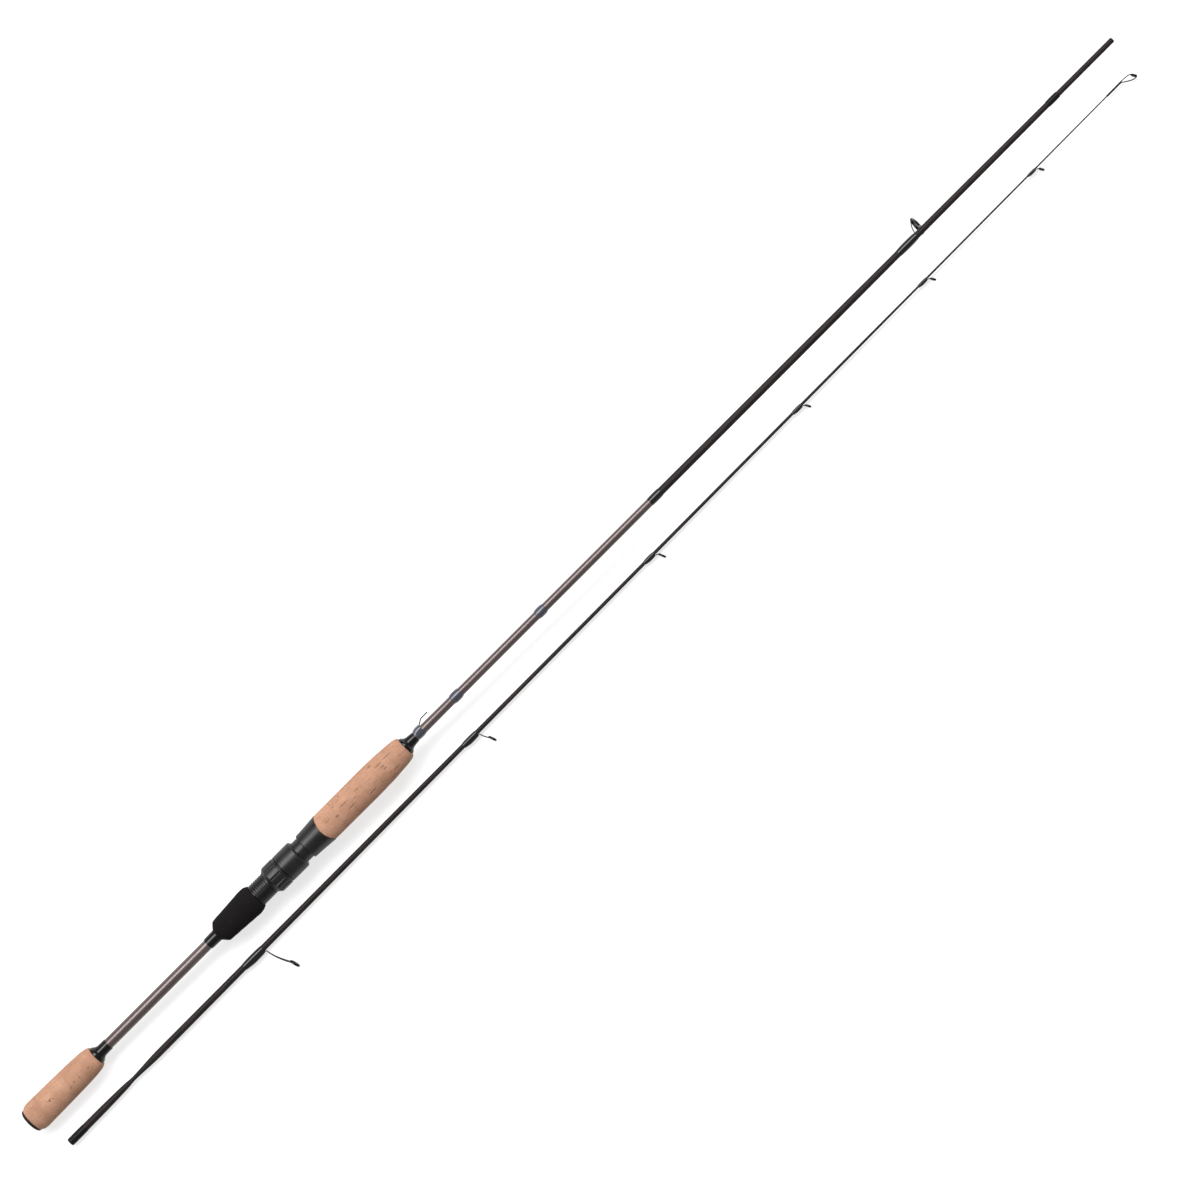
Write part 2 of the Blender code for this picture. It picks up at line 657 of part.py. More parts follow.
def locking_nut(parent):
    """Panelled nut that runs on the thread and carries the sliding hood with it."""
    start, end = NUT
    outline = (
        (start, NUT_RADIUS - 0.0016), (start + 0.0014, NUT_RADIUS), (end - 0.0016, NUT_RADIUS),
        (end - 0.0012, NUT_RADIUS - NUT_GROOVE), (end, NUT_RADIUS - NUT_GROOVE),
    )
    step = 2.0 * math.pi / NUT_PANELS
    angles = [step * (i + share) for i in range(NUT_PANELS) for share in (0.0, 0.14, 0.28, 0.64)]

    def outer(x, angle):
        share = (angle / step) % 1.0
        groove = NUT_GROOVE if 0.13 < share < 0.15 else 0.0
        return min(interpolate(outline, x), NUT_RADIUS - groove)

    def inner(x, angle):
        return BARREL_RADIUS + GAP + 0.00005

    stations = [x for x, radius in outline]
    sleeve("locking_nut", (stations, outer), ([start, end], inner), angles, "seat", parent)


def pitch_at_rest():
    """Rise of the butt section's axis when it lies on its rear cork and on the stripper's ring."""
    heel, height, ahead, outer = STRIPPER[:4]
    cork_x, cork_radius = REAR_CORK_OUTLINE[2]
    drop = height * math.cos(ROLL) + outer
    return math.atan2(drop - cork_radius, heel + ahead - cork_x), cork_x, cork_radius


def main():
    clear_scene()
    pitch, cork_x, cork_radius = pitch_at_rest()
    floor = cork_x * math.sin(pitch) - cork_radius * math.cos(pitch)
    butt = make_empty("butt_section", (0.0, 0.0, 0.0), (ROLL, -pitch, 0.0))
    tip_place = (TIP_START_X, -TIP_START_SPACING, floor + TIP_GUIDES[0][3])
    tip = make_empty("tip_section", tip_place, (-math.pi / 2.0, 0.0, TOE_IN))
    butt_blank(butt)
    handle(butt)
    reel_seat_body(butt)
    sliding_hood(butt)
    locking_nut(butt)
    hook_keeper(butt)
    for number, span in enumerate(BAND_WRAPS, 1):
        plain_wrap(f"band_wrap_{number}", span, BUTT_TAPER, "silver_wrap", butt, BAND_HEIGHT)
    plain_wrap("join_wrap", JOIN_WRAP, BUTT_TAPER, "gloss_wrap", butt, THIN_HEIGHT)
    plain_wrap("ferrule_stop_wrap", STOP_WRAP, BUTT_TAPER, "gloss_wrap", butt, THIN_HEIGHT)
    guide("stripper", STRIPPER, BUTT_TAPER, butt)
    tip_blank(tip)
    for number, sizes in enumerate(TIP_GUIDES, 1):
        guide(f"guide_{number}", sizes, TIP_TAPER, tip)
    tip_top(tip)


main()
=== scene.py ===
"""Looks of a two-piece spinning rod that lies taken apart on a pale floor.

Each section's pieces are shaped in that section's own frame: +X runs from its rear end towards its
tip, -Z is the side that carries the line guides, and an angle round the axis is zero there and a
quarter turn on at +Y. Every length is in metres. Stations and radii of the turned pieces are read
from the CAD frame.
"""

import bisect
import json
import math
import random

import bpy
import numpy as np
from mathutils import Matrix, Vector


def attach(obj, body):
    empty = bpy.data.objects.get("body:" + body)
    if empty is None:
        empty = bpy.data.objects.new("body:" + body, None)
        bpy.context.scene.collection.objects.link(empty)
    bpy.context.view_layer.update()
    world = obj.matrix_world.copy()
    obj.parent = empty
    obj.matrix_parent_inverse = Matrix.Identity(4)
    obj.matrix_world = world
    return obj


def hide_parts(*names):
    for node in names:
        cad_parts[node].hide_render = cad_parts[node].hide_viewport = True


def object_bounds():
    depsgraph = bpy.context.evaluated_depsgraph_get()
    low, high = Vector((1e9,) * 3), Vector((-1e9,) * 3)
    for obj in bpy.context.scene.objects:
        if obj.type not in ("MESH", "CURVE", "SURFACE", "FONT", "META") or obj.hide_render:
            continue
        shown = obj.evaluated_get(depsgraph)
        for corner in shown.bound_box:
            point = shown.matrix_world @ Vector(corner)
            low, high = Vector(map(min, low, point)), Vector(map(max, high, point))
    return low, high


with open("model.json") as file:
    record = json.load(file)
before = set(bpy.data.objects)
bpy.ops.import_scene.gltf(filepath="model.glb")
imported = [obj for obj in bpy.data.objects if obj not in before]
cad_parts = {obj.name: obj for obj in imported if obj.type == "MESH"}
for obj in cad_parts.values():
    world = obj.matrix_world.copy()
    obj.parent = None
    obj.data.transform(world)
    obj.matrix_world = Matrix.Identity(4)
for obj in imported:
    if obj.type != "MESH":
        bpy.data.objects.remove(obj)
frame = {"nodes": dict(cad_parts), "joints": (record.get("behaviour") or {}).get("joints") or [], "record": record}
CAD_LOW, CAD_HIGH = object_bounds()
MIDDLE = (CAD_LOW + CAD_HIGH) / 2.0
JOINTS = {joint["name"]: joint for joint in frame["joints"]}
MOUNTS = {mount["name"]: mount for mount in frame["record"]["mounts"]}

# Reel seat, stations along the butt section
THREAD_START = 0.2289
THREAD_PITCH = 0.0018
THREAD_TURNS = 7
THREAD_DEPTH = 0.00050
BARREL_RADIUS = 0.00885
BARREL_STOPS = (0.2500, 0.2600)  # plain stations on the bare part of the barrel
BED_DEPTH = 0.0066  # from the axis to the flat bed
LAND = (0.2716, 0.2769)
LAND_RISE = 0.0003
KEYWAY_HALF_WIDTH = 0.0009
KEYWAY_DEPTH = 0.0007
KEYWAY_ANGLE = math.radians(173.0)
KEYWAY_PLAY = 0.00035  # on each side of the hood's rib
SEAT_BORE = 0.00515
FIXED_HOOD_START = 0.2775
FIXED_HOOD_RADII = (0.01015, 0.0115)
POCKET_END = 0.2940
POCKET_ROOF = 0.0119
POCKET_HALF_ANGLE = math.radians(31.0)
HOOD_BULGE = 0.0130
HOOD_BULGE_ANGLES = (math.radians(34.0), math.radians(55.0))
HOOD_LIP = ((0.0, 0.0006), (0.00008, 0.00035), (0.00025, 0.00012), (0.0006, 0.0))
HOOD_RADIUS = 0.01115
NUT_RADIUS = 0.0113
NUT_PANELS = 12
NUT_GROOVE = 0.00055
NUT_GROOVE_CENTRE = 0.54  # share of a panel's turn
NUT_GROOVE_WIDTH = 0.11
RUNNING_GAP = 0.0003

# Grips, blanks and wraps
BLANK_WALL = 0.0009
TIP_BORE_END = 0.6400
SOCKET_BORE = ((0.0620, 0.00150), (0.0580, 0.00206), (0.0002, 0.00216), (0.0, 0.00222))
LACQUER_END = 0.6270  # the butt blank is lacquered up to here, and bare beyond
LONG_STEP = 0.0040
CORK_STEP = 0.0004
WRAP_STEP = 0.00025
SEAM = 0.00004  # between glued cork rings
JOINT_CLOSED = 0.00022  # by which the cork reaches back to close the CAD's gap
SADDLE = 0.0030  # by which the hood's joint with the cork curves back on top
PIT_DEPTH = 0.00026
CHOSEN_DEPTH = 0.00025  # of the marks that face up
CHOSEN_DARKNESS = 0.85
RIM_DROP = 0.00008  # by which a cork ring's rims are eased
THREAD_BASE = 0.00004  # least height of a wrap above its bore
WRAP_OVER_FOOT = (math.radians(26.0), math.radians(80.0))  # where its full height ends, and all of it

# Each guide: heel station, axis to ring centre, ring centre ahead of the heel, ring outer radius,
# ring bore radius, lean of the ring in degrees, length of the foot under its wrap
GUIDES = {
    "stripper": (0.8880, 0.0250, 0.0072, 0.0071, 0.0052, 17.0, 0.0175),
    "guide_1": (0.1950, 0.02375, 0.0079, 0.00400, 0.0027, 14.0, 0.0180),
    "guide_2": (0.4113, 0.0110, 0.0042, 0.00325, 0.0021, 18.0, 0.0130),
    "guide_3": (0.5905, 0.0053, 0.0024, 0.00290, 0.0019, 22.0, 0.0090),
    "guide_4": (0.7395, 0.0041, 0.0020, 0.00235, 0.0015, 28.0, 0.0085),
    "guide_5": (0.8662, 0.0038, 0.0019, 0.00220, 0.0014, 30.0, 0.0083),
    "guide_6": (0.9760, 0.0036, 0.0019, 0.00215, 0.0014, 30.0, 0.0075),
}
TALL_GUIDE = 0.0100
LEG_SPREAD = math.radians(72.0)
FOOT_THICKNESS = 0.00050
LOW_FOOT_THICKNESS = 0.00032
LOW_WRAP_SAVING = 0.00035  # by which a low guide's wrap stands out less than its CAD node
FINE_GAP = 0.00010
FOOT_PLAY = 0.00012
TIP_TUBE = (1.0475, 1.0625)
TIP_TUBE_RADII = (0.00052, 0.00074)
TIP_RING_CENTRE = (1.0715, -0.0032)
TIP_RING_RADII = (0.00240, 0.00150)
TIP_RING_LEAN = math.radians(29.0)
TIP_WIRE = 0.00036
TIP_WIRE_SPREAD = math.radians(38.0)
KEEPER_ANGLE = math.radians(90.0)
KEEPER_WIRE = 0.00042
KEEPER_RISE = 0.0032
KEEPER_REACH = 0.0068


# Materials
BAND_SCALE = 0.31416  # a wave texture's scale for bands a metre apart

# Floor, light and camera: each light's name, its (y, z), its size and its power
FLOOR_REACH = 6.0
FLOOR_GLOW = 0.70
WORLD_STRENGTH = 0.32
LIGHTS = (("key", (0.88, 1.36), (2.8, 1.1), 32.0), ("strip", (0.72, 1.30), (2.6, 0.36), 22.0))
CAMERA_PLACE = (0.5482, -0.0239, 2.600)
VIEW_WIDTH = 0.8512  # what the camera sees across at z = 0
HEADING = math.radians(45.0)  # of the picture's upright, from +Y towards +X

# Marks in the cork that face up: station, turn from the top in degrees, length, width
REAR_MARKS = (
    (0.0240, -6.0, 0.0066, 0.00070), (0.0236, -4.0, 0.0013, 0.00230), (0.0262, 1.0, 0.0018, 0.00080),
    (0.0452, 11.0, 0.0016, 0.00100), (0.0502, 13.0, 0.0014, 0.00110),
    (0.0405, 19.0, 0.0022, 0.00070), (0.0590, 12.0, 0.0020, 0.00080),
)
FORE_MARKS = (
    (0.3556, -24.0, 0.0080, 0.00075), (0.3645, -27.0, 0.0086, 0.00070), (0.3403, 32.0, 0.0074, 0.00085),
    (0.3230, 16.0, 0.0076, 0.00075), (0.3198, -12.0, 0.0100, 0.00060), (0.3640, 35.0, 0.0074, 0.00060),
    (0.3575, -8.0, 0.0044, 0.00075), (0.3580, 3.0, 0.0042, 0.00075), (0.3500, -47.0, 0.0036, 0.00100),
    (0.3330, -15.0, 0.0050, 0.00070), (0.3110, -53.0, 0.0016, 0.00080), (0.3197, -53.0, 0.0016, 0.00080),
    (0.3100, 4.0, 0.0032, 0.00120), (0.3280, 1.0, 0.0014, 0.00080),
)


# --- frames of the two sections

def section_matrix(origin, ahead, guide_side):
    """Frame of a section: X ahead, -Z towards its guides."""
    x = Vector(ahead).normalized()
    side = Vector(guide_side)
    z = -(side - x * side.dot(x)).normalized()
    matrix = Matrix((x, z.cross(x), z)).transposed().to_4x4()
    matrix.translation = origin
    return matrix


def rear_middle(node, ahead):
    """Middle of a node's rearmost points."""
    ahead = Vector(ahead)
    points = [vertex.co for vertex in frame["nodes"][node].data.vertices]
    rear = min(point.dot(ahead) for point in points)
    ring = [point for point in points if point.dot(ahead) < rear + 1e-5]
    low = [min(point[i] for point in ring) for i in range(3)]
    high = [max(point[i] for point in ring) for i in range(3)]
    return (Vector(low) + Vector(high)) / 2.0


def find_sections():
    ahead = JOINTS["tip_section_draw"]["axis"]
    bed = MOUNTS["reel_foot_bed"]["axis"]
    return {
        "butt": section_matrix((0.0, 0.0, 0.0), JOINTS["hood_slide"]["axis"], bed),
        "tip": section_matrix(rear_middle("tip_blank", ahead), ahead, (ahead[1], -ahead[0], 0.0)),
    }


SECTIONS = find_sections()
GUIDE_SIDE = SECTIONS["butt"].to_3x3() @ Vector((0.0, 0.0, -1.0))
TOP_ANGLE = math.pi - math.atan2(GUIDE_SIDE.y, -GUIDE_SIDE.z)
BODY_OF = {node: body for body, nodes in frame["record"]["behaviour"]["bodies"].items() for node in nodes}


def section_of(node):
    return SECTIONS["tip" if BODY_OF[node] == "tip_section" else "butt"]


def local_points(node):
    """A CAD node's points in its section's frame."""
    mesh = frame["nodes"][node].data
    flat = np.empty(len(mesh.vertices) * 3)
    mesh.vertices.foreach_get("co", flat)
    inverse = np.array(section_of(node).inverted())
    return flat.reshape(-1, 3) @ inverse[:3, :3].T + inverse[:3, 3]


def profile(*nodes):
    """Turned nodes: outer outline as (station, radius) points, its two ends and their bore's radius."""
    found = []
    for node in nodes:
        x, y, z = local_points(node).T
        found += list(zip(x, np.hypot(y, z)))
    outline = []
    for x, radius in sorted(found):
        if outline and x - outline[-1][0] < 5e-5:
            outline[-1][1] = max(outline[-1][1], radius)
        else:
            outline.append([x, radius])
    return outline, outline[0][0], outline[-1][0], min(radius for x, radius in found)


# --- curves and outlines

def smooth(points):
    """A smooth curve through (x, value) points that doesn't overshoot them."""
    xs, values = zip(*points)
    spans = [b - a for a, b in zip(xs, xs[1:])]
    slopes = [(b - a) / span for a, b, span in zip(values, values[1:], spans)]
    tangents = [0.0 if a * b <= 0.0 else 2.0 * a * b / (a + b) for a, b in zip(slopes, slopes[1:])]
    tangents = [slopes[0]] + tangents + [slopes[-1]]

    def value(x):
        i = min(max(bisect.bisect_right(xs, x) - 1, 0), len(spans) - 1)
        t = min(max((x - xs[i]) / spans[i], 0.0), 1.0)
        rise = values[i] * (1.0 + 2.0 * t) * (1.0 - t) ** 2 + values[i + 1] * t * t * (3.0 - 2.0 * t)
        bend = tangents[i] * t * (1.0 - t) ** 2 - tangents[i + 1] * t * t * (1.0 - t)
        return rise + spans[i] * bend

    return value


def ease(share):
    """Zero up to 0, one from 1, and smooth between."""
    share = np.clip(share, 0.0, 1.0)
    return share * share * (3.0 - 2.0 * share)


def even(start, end, step):
    """Stations from start to end, about a step apart."""
    return np.linspace(start, end, max(2, int(round((end - start) / step)) + 1))


def rounded(points, reach, steps=4, closed=False):
    """An outline whose corners are curves that begin `reach` before each corner."""
    corners = [Vector(point) for point in points]
    out = []
    for i, corner in enumerate(corners):
        if not closed and i in (0, len(corners) - 1):
            out.append(tuple(corner))
            continue
        ends = []
        for other in (corners[i - 1], corners[(i + 1) % len(corners)]):
            edge = other - corner
            ends.append(corner + edge.normalized() * min(reach, 0.45 * edge.length))
        for k in range(steps + 1):
            t = k / steps
            out.append(tuple(ends[0] * (1 - t) ** 2 + corner * (2 * t * (1 - t)) + ends[1] * t * t))
    return out


def through(points, per_span):
    """A smooth path through points in space."""
    path = [Vector(point) for point in points]
    ends = [path[0] * 2 - path[1]] + path + [path[-1] * 2 - path[-2]]
    out = []
    for a, b, c, d in zip(ends, ends[1:], ends[2:], ends[3:]):
        for k in range(per_span):
            t = k / per_span
            out.append(0.5 * (b * 2 + (c - a) * t + (a * 2 - b * 5 + c * 4 - d) * t * t
                              + (b * 3 - a - c * 3 + d) * t ** 3))
    return out + [path[-1]]


def bent(root, knee, meet, steps):
    """Points along the quadratic curve from root to meet that leans towards knee."""
    shares = [i / steps for i in range(steps + 1)]
    return [root * (1 - t) ** 2 + knee * (2 * t * (1 - t)) + meet * t * t for t in shares]


# --- meshes

def ring_rows(stations, radii, angles):
    """Rows of points round the axis; stations and radii are for each row, or for each point."""
    stations, radii = (np.asarray(values, float) for values in (stations, radii))
    if stations.ndim == 1:
        stations = stations[:, None] * np.ones(len(angles))
    if radii.ndim == 1:
        radii = radii[:, None] * np.ones(len(angles))
    return np.stack([stations, radii * np.sin(angles), -radii * np.cos(angles)], axis=-1)


def wall_row(x, radii, angles):
    """One row at a station, or at a station for each angle."""
    return ring_rows([x], radii[None, :], angles)[0]


def turn_angles(count):
    return np.arange(count) * (2.0 * math.pi / count)


def rows_mesh(name, rows, bored):
    """Skin rows of points. Bored: the last row joins the first. Otherwise both ends are capped."""
    rows = np.asarray(rows, float)
    count, sides = rows.shape[:2]
    points = rows.reshape(-1, 3).tolist()
    pairs = [(i, i + 1) for i in range(count - 1)]
    if bored:
        pairs.append((count - 1, 0))
    faces = []
    for low, high in pairs:
        for k in range(sides):
            n = (k + 1) % sides
            faces.append((low * sides + k, low * sides + n, high * sides + n, high * sides + k))
    if not bored:
        for row, turned in ((0, True), (count - 1, False)):
            middle = len(points)
            points.append(rows[row].mean(axis=0).tolist())
            for k in range(sides):
                a, b = row * sides + k, row * sides + (k + 1) % sides
                faces.append((middle, b, a) if turned else (middle, a, b))
    mesh = bpy.data.meshes.new(name)
    mesh.from_pydata(points, [], faces)
    mesh.validate()
    mesh.shade_smooth()
    return mesh


def add_item(name, data):
    item = bpy.data.objects.new(name, data)
    bpy.context.scene.collection.objects.link(item)
    return item


def stand_for(item, node, material, sharp=40.0):
    """Finish a piece that was shaped in its section's frame, and let it stand for its CAD node.

    Its points keep their places in the section as an attribute, which the materials read.
    """
    mesh = item.data
    places = np.empty(len(mesh.vertices) * 3, np.float32)
    mesh.vertices.foreach_get("co", places)
    mesh.attributes.new("place", "FLOAT_VECTOR", "POINT").data.foreach_set("vector", places)
    mesh.transform(section_of(node))
    mesh.materials.clear()
    mesh.materials.append(material)
    mesh.set_sharp_from_angle(angle=math.radians(sharp))
    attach(item, BODY_OF[node])
    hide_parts(node)
    return item


def make_piece(node, rows, material, bored=True, sharp=40.0):
    name = "visible_" + node
    return stand_for(add_item(name, rows_mesh(name, rows, bored)), node, material, sharp)


def turned(node, outline, material, sides=96, bored=True, sharp=40.0):
    """A round piece from an outline of (station, radius) points."""
    return make_piece(node, ring_rows(*zip(*outline), turn_angles(sides)), material, bored, sharp)


def sweep(path, sizes, sides, power=2.0):
    """Rows of a bar along a path; sizes are its half widths across Y and half thicknesses."""
    rows = []
    across = Vector((0.0, 1.0, 0.0))
    for i, point in enumerate(path):
        ahead = (path[min(i + 1, len(path) - 1)] - path[max(i - 1, 0)]).normalized()
        side = (across - ahead * across.dot(ahead)).normalized()
        up = ahead.cross(side)
        width, thick = sizes[i]
        row = []
        for angle in turn_angles(sides):
            c, s = math.cos(angle), math.sin(angle)
            c = math.copysign(abs(c) ** (2.0 / power), c)
            s = math.copysign(abs(s) ** (2.0 / power), s)
            row.append(point + side * (c * width) + up * (s * thick))
        rows.append(row)
    return rows


def bar_part(path, sizes, power):
    return rows_mesh("part", sweep(path, sizes, 16, power), False)


def wire_part(path, radius, sides=14):
    """A round wire whose ends are rounded off."""
    head = (path[0] - path[1]).normalized() * radius * 0.9
    tail = (path[-1] - path[-2]).normalized() * radius * 0.9
    sizes = [(radius * 0.35,) * 2] + [(radius, radius)] * len(path) + [(radius * 0.35,) * 2]
    return rows_mesh("part", sweep([path[0] + head, *path, path[-1] + tail], sizes, sides), False)


def fuse(name, meshes):
    """Unite overlapping closed meshes into one."""
    items = [add_item(name if i == 0 else f"{name}_{i}", mesh) for i, mesh in enumerate(meshes)]
    body = items[0]
    for extra in items[1:]:
        modifier = body.modifiers.new("union", "BOOLEAN")
        modifier.operation = "UNION"
        modifier.solver = "EXACT"
        modifier.object = extra
    bpy.context.view_layer.update()
    graph = bpy.context.evaluated_depsgraph_get()
    mesh = bpy.data.meshes.new_from_object(body.evaluated_get(graph))
    body.modifiers.clear()
    body.data = mesh
    for extra in items[1:]:
        bpy.data.objects.remove(extra)
    mesh.shade_smooth()
    return body


# --- materials

class Finish:
    """A Principled material that varies over the places its points keep in their section."""

    def __init__(self, name, colour, roughness, specular=0.5, metallic=0.0, coat=0.0, coat_roughness=0.05,
                 placed=True):
        self.material = bpy.data.materials.new(name)
        self.material.use_nodes = True
        self.nodes = self.material.node_tree.nodes
        self.links = self.material.node_tree.links
        self.shader = self.nodes["Principled BSDF"]
        self.set("Base Color", colour)
        self.set("Roughness", roughness)
        self.set("Specular IOR Level", specular)
        self.set("Metallic", metallic)
        self.set("Coat Weight", coat)
        self.set("Coat Roughness", coat_roughness)
        if placed:
            self.coords = self.attribute("place", "Vector")
        else:
            self.coords = self.node("TexCoord").outputs["Object"]

    def feed(self, value, socket):
        """Link a socket, or set a number or a colour."""
        if isinstance(value, bpy.types.NodeSocket):
            self.links.new(value, socket)
        else:
            socket.default_value = (*value, 1.0) if socket.type == "RGBA" else value

    def set(self, name, value):
        """Feed one of the shader's own inputs."""
        self.feed(value, self.shader.inputs[name])

    def node(self, kind, **inputs):
        """A new node with some of its inputs fed; a name has _ for each space."""
        node = self.nodes.new("ShaderNode" + kind)
        for name, value in inputs.items():
            self.feed(value, node.inputs[name.replace("_", " ")])
        return node

    def attribute(self, name, output="Fac"):
        node = self.node("Attribute")
        node.attribute_name = name
        return node.outputs[output]

    def stretched(self, scale):
        """The places, scaled by an amount for each axis."""
        return self.node("Mapping", Vector=self.coords, Scale=scale).outputs["Vector"]

    def noise(self, scale, detail=3.0, rough=0.55, coords=None):
        node = self.node("TexNoise", Scale=scale, Detail=detail, Roughness=rough,
                         Vector=coords or self.coords)
        return node.outputs["Fac"]

    def cells(self, scale):
        return self.node("TexVoronoi", Vector=self.coords, Scale=scale).outputs["Distance"]

    def bands(self, period, distortion):
        """Bands across the section's axis, one for each period."""
        node = self.node("TexWave", Vector=self.coords, Scale=BAND_SCALE / period, Distortion=distortion,
                         Detail_Scale=0.2)
        node.bands_direction = "X"
        return node.outputs["Fac"]

    def ramp(self, factor, stops):
        node = self.node("ValToRGB", Fac=factor)
        elements = node.color_ramp.elements
        elements[0].position, elements[0].color = stops[0][0], (*stops[0][1], 1.0)
        elements[1].position, elements[1].color = stops[-1][0], (*stops[-1][1], 1.0)
        for position, colour in stops[1:-1]:
            elements.new(position).color = (*colour, 1.0)
        return node.outputs["Color"]

    def mix(self, factor, first, second, mode="MIX"):
        """Colours mixed; factor and the colours may be numbers or sockets."""
        node = self.node("Mix")
        node.data_type = "RGBA"
        node.blend_type = mode
        for value, place in ((factor, 0), (first, 6), (second, 7)):
            self.feed(value, node.inputs[place])
        return node.outputs[2]

    def spread(self, factor, low, high, start=0.3, end=0.7):
        """A factor's useful stretch mapped on to a range."""
        node = self.node("MapRange", Value=factor, From_Min=start, From_Max=end, To_Min=low, To_Max=high)
        return node.outputs["Result"]

    def add(self, first, second, operation="ADD"):
        node = self.node("Math")
        node.operation = operation
        self.feed(first, node.inputs[0])
        self.feed(second, node.inputs[1])
        return node.outputs[0]

    def colour(self, socket):
        self.set("Base Color", socket)

    def two_tone(self, factor, dark, light, end=0.7):
        self.colour(self.ramp(factor, ((0.3, dark), (end, light))))

    def rough(self, factor, low, high):
        self.set("Roughness", self.spread(factor, low, high))

    def bump(self, height, distance, strength, coat=False):
        node = self.node("Bump", Height=height, Distance=distance, Strength=strength)
        self.set("Normal", node.outputs["Normal"])
        if coat:
            self.set("Coat Normal", node.outputs["Normal"])


def cork_finish():
    finish = Finish("cork", (0.380, 0.206, 0.132), 0.78, specular=0.25)
    patches = finish.noise(95.0, 4.0, 0.6)
    base = finish.ramp(patches, (
        (0.32, (0.325, 0.172, 0.108)), (0.5, (0.380, 0.206, 0.132)), (0.68, (0.440, 0.247, 0.163)),
    ))
    grain = finish.noise(1100.0, 5.0, 0.7)
    fleck = finish.ramp(grain, (
        (0.30, (0.66, 0.58, 0.52)), (0.50, (1.0, 1.0, 1.0)), (0.75, (1.12, 1.10, 1.06)),
    ))
    base = finish.mix(0.75, base, fleck, "MULTIPLY")
    lines = finish.noise(1.0, 3.0, 0.6, finish.stretched((160.0, 1300.0, 1300.0)))
    streaks = finish.spread(lines, 0.0, 0.55, 0.60, 0.78)
    base = finish.mix(streaks, base, (0.205, 0.094, 0.055))
    specks = finish.spread(finish.cells(420.0), 0.75, 0.0, 0.05, 0.16)
    base = finish.mix(finish.add(specks, finish.spread(patches, 0.0, 1.0, 0.42, 0.62), "MULTIPLY"),
                      base, (0.130, 0.054, 0.030))
    tone = finish.attribute("tone")
    base = finish.mix(finish.spread(tone, 0.0, 0.5, 0.0, 1.0), base, (0.312, 0.162, 0.102))
    finish.colour(finish.mix(finish.attribute("pit"), base, (0.050, 0.018, 0.010)))
    finish.rough(grain, 0.70, 0.88)
    height = finish.add(finish.add(grain, finish.noise(380.0, 3.0)), lines)
    finish.bump(height, 0.00010, 0.7)
    return finish.material


def foam_finish():
    finish = Finish("foam", (0.006, 0.0055, 0.0055), 0.94, specular=0.08)
    grain = finish.noise(1700.0, 3.0, 0.7)
    finish.two_tone(grain, (0.0040, 0.0033, 0.0033), (0.0105, 0.0088, 0.0088))
    finish.rough(finish.noise(120.0), 0.86, 0.98)
    finish.bump(finish.add(finish.cells(1500.0), grain), 0.00009, 0.8)
    return finish.material


def rubber_finish(name="rubber", placed=True):
    finish = Finish(name, (0.006, 0.0055, 0.0055), 0.62, specular=0.15, placed=placed)
    grain = finish.noise(900.0, 4.0, 0.7)
    finish.two_tone(grain, (0.0036, 0.0033, 0.0033), (0.0080, 0.0073, 0.0073))
    finish.rough(finish.noise(260.0), 0.50, 0.74)
    finish.bump(grain, 0.00005, 0.6)
    return finish.material


def seat_finish():
    finish = Finish("seat", (0.011, 0.010, 0.010), 0.36, specular=0.38)
    grain = finish.noise(2600.0, 3.0, 0.7)
    wear = finish.noise(160.0, 4.0, 0.6)
    finish.two_tone(wear, (0.0036, 0.0031, 0.0033), (0.0072, 0.0062, 0.0066))
    finish.rough(wear, 0.33, 0.43)
    finish.bump(grain, 0.000012, 0.5)
    return finish.material


def gloss_finish():
    finish = Finish("gloss_trim", (0.0015, 0.0013, 0.0013), 0.30, specular=0.05, coat=0.6,
                    coat_roughness=0.16)
    finish.rough(finish.noise(400.0, 4.0), 0.24, 0.38)
    finish.bump(finish.noise(220.0, 2.0), 0.00003, 0.5, coat=True)
    return finish.material


def lacquer_finish():
    """Warm grey metallic lacquer."""
    finish = Finish("metallic_lacquer", (0.07, 0.052, 0.05), 0.30, metallic=0.55, coat=0.30,
                    coat_roughness=0.16)
    flakes = finish.noise(5200.0, 2.0, 0.6)
    drift = finish.noise(1.0, 3.0, 0.6, finish.stretched((9.0, 120.0, 120.0)))
    base = finish.ramp(drift, ((0.3, (0.082, 0.062, 0.059)), (0.7, (0.122, 0.098, 0.093))))
    glint = finish.ramp(flakes, ((0.35, (0.55, 0.5, 0.5)), (0.7, (1.5, 1.45, 1.4))))
    finish.colour(finish.mix(0.5, base, glint, "MULTIPLY"))
    finish.rough(flakes, 0.26, 0.38)
    return finish.material


def carbon_finish():
    """Bare matt carbon with the fine ridges that the wrapping tape leaves."""
    finish = Finish("bare_carbon", (0.011, 0.009, 0.009), 0.50, specular=0.16)
    patches = finish.noise(1.0, 4.0, 0.6, finish.stretched((70.0, 420.0, 420.0)))
    ridges = finish.bands(0.00085, 0.6)
    base = finish.ramp(patches, (
        (0.30, (0.0078, 0.0058, 0.0060)), (0.52, (0.0135, 0.0096, 0.0098)), (0.70, (0.0240, 0.0138, 0.0130)),
    ))
    shade = finish.ramp(ridges, ((0.2, (0.7, 0.7, 0.7)), (0.8, (1.2, 1.2, 1.2))))
    finish.colour(finish.mix(0.35, base, shade, "MULTIPLY"))
    finish.rough(patches, 0.42, 0.58)
    finish.bump(finish.add(ridges, finish.noise(1900.0)), 0.00003, 0.8)
    return finish.material


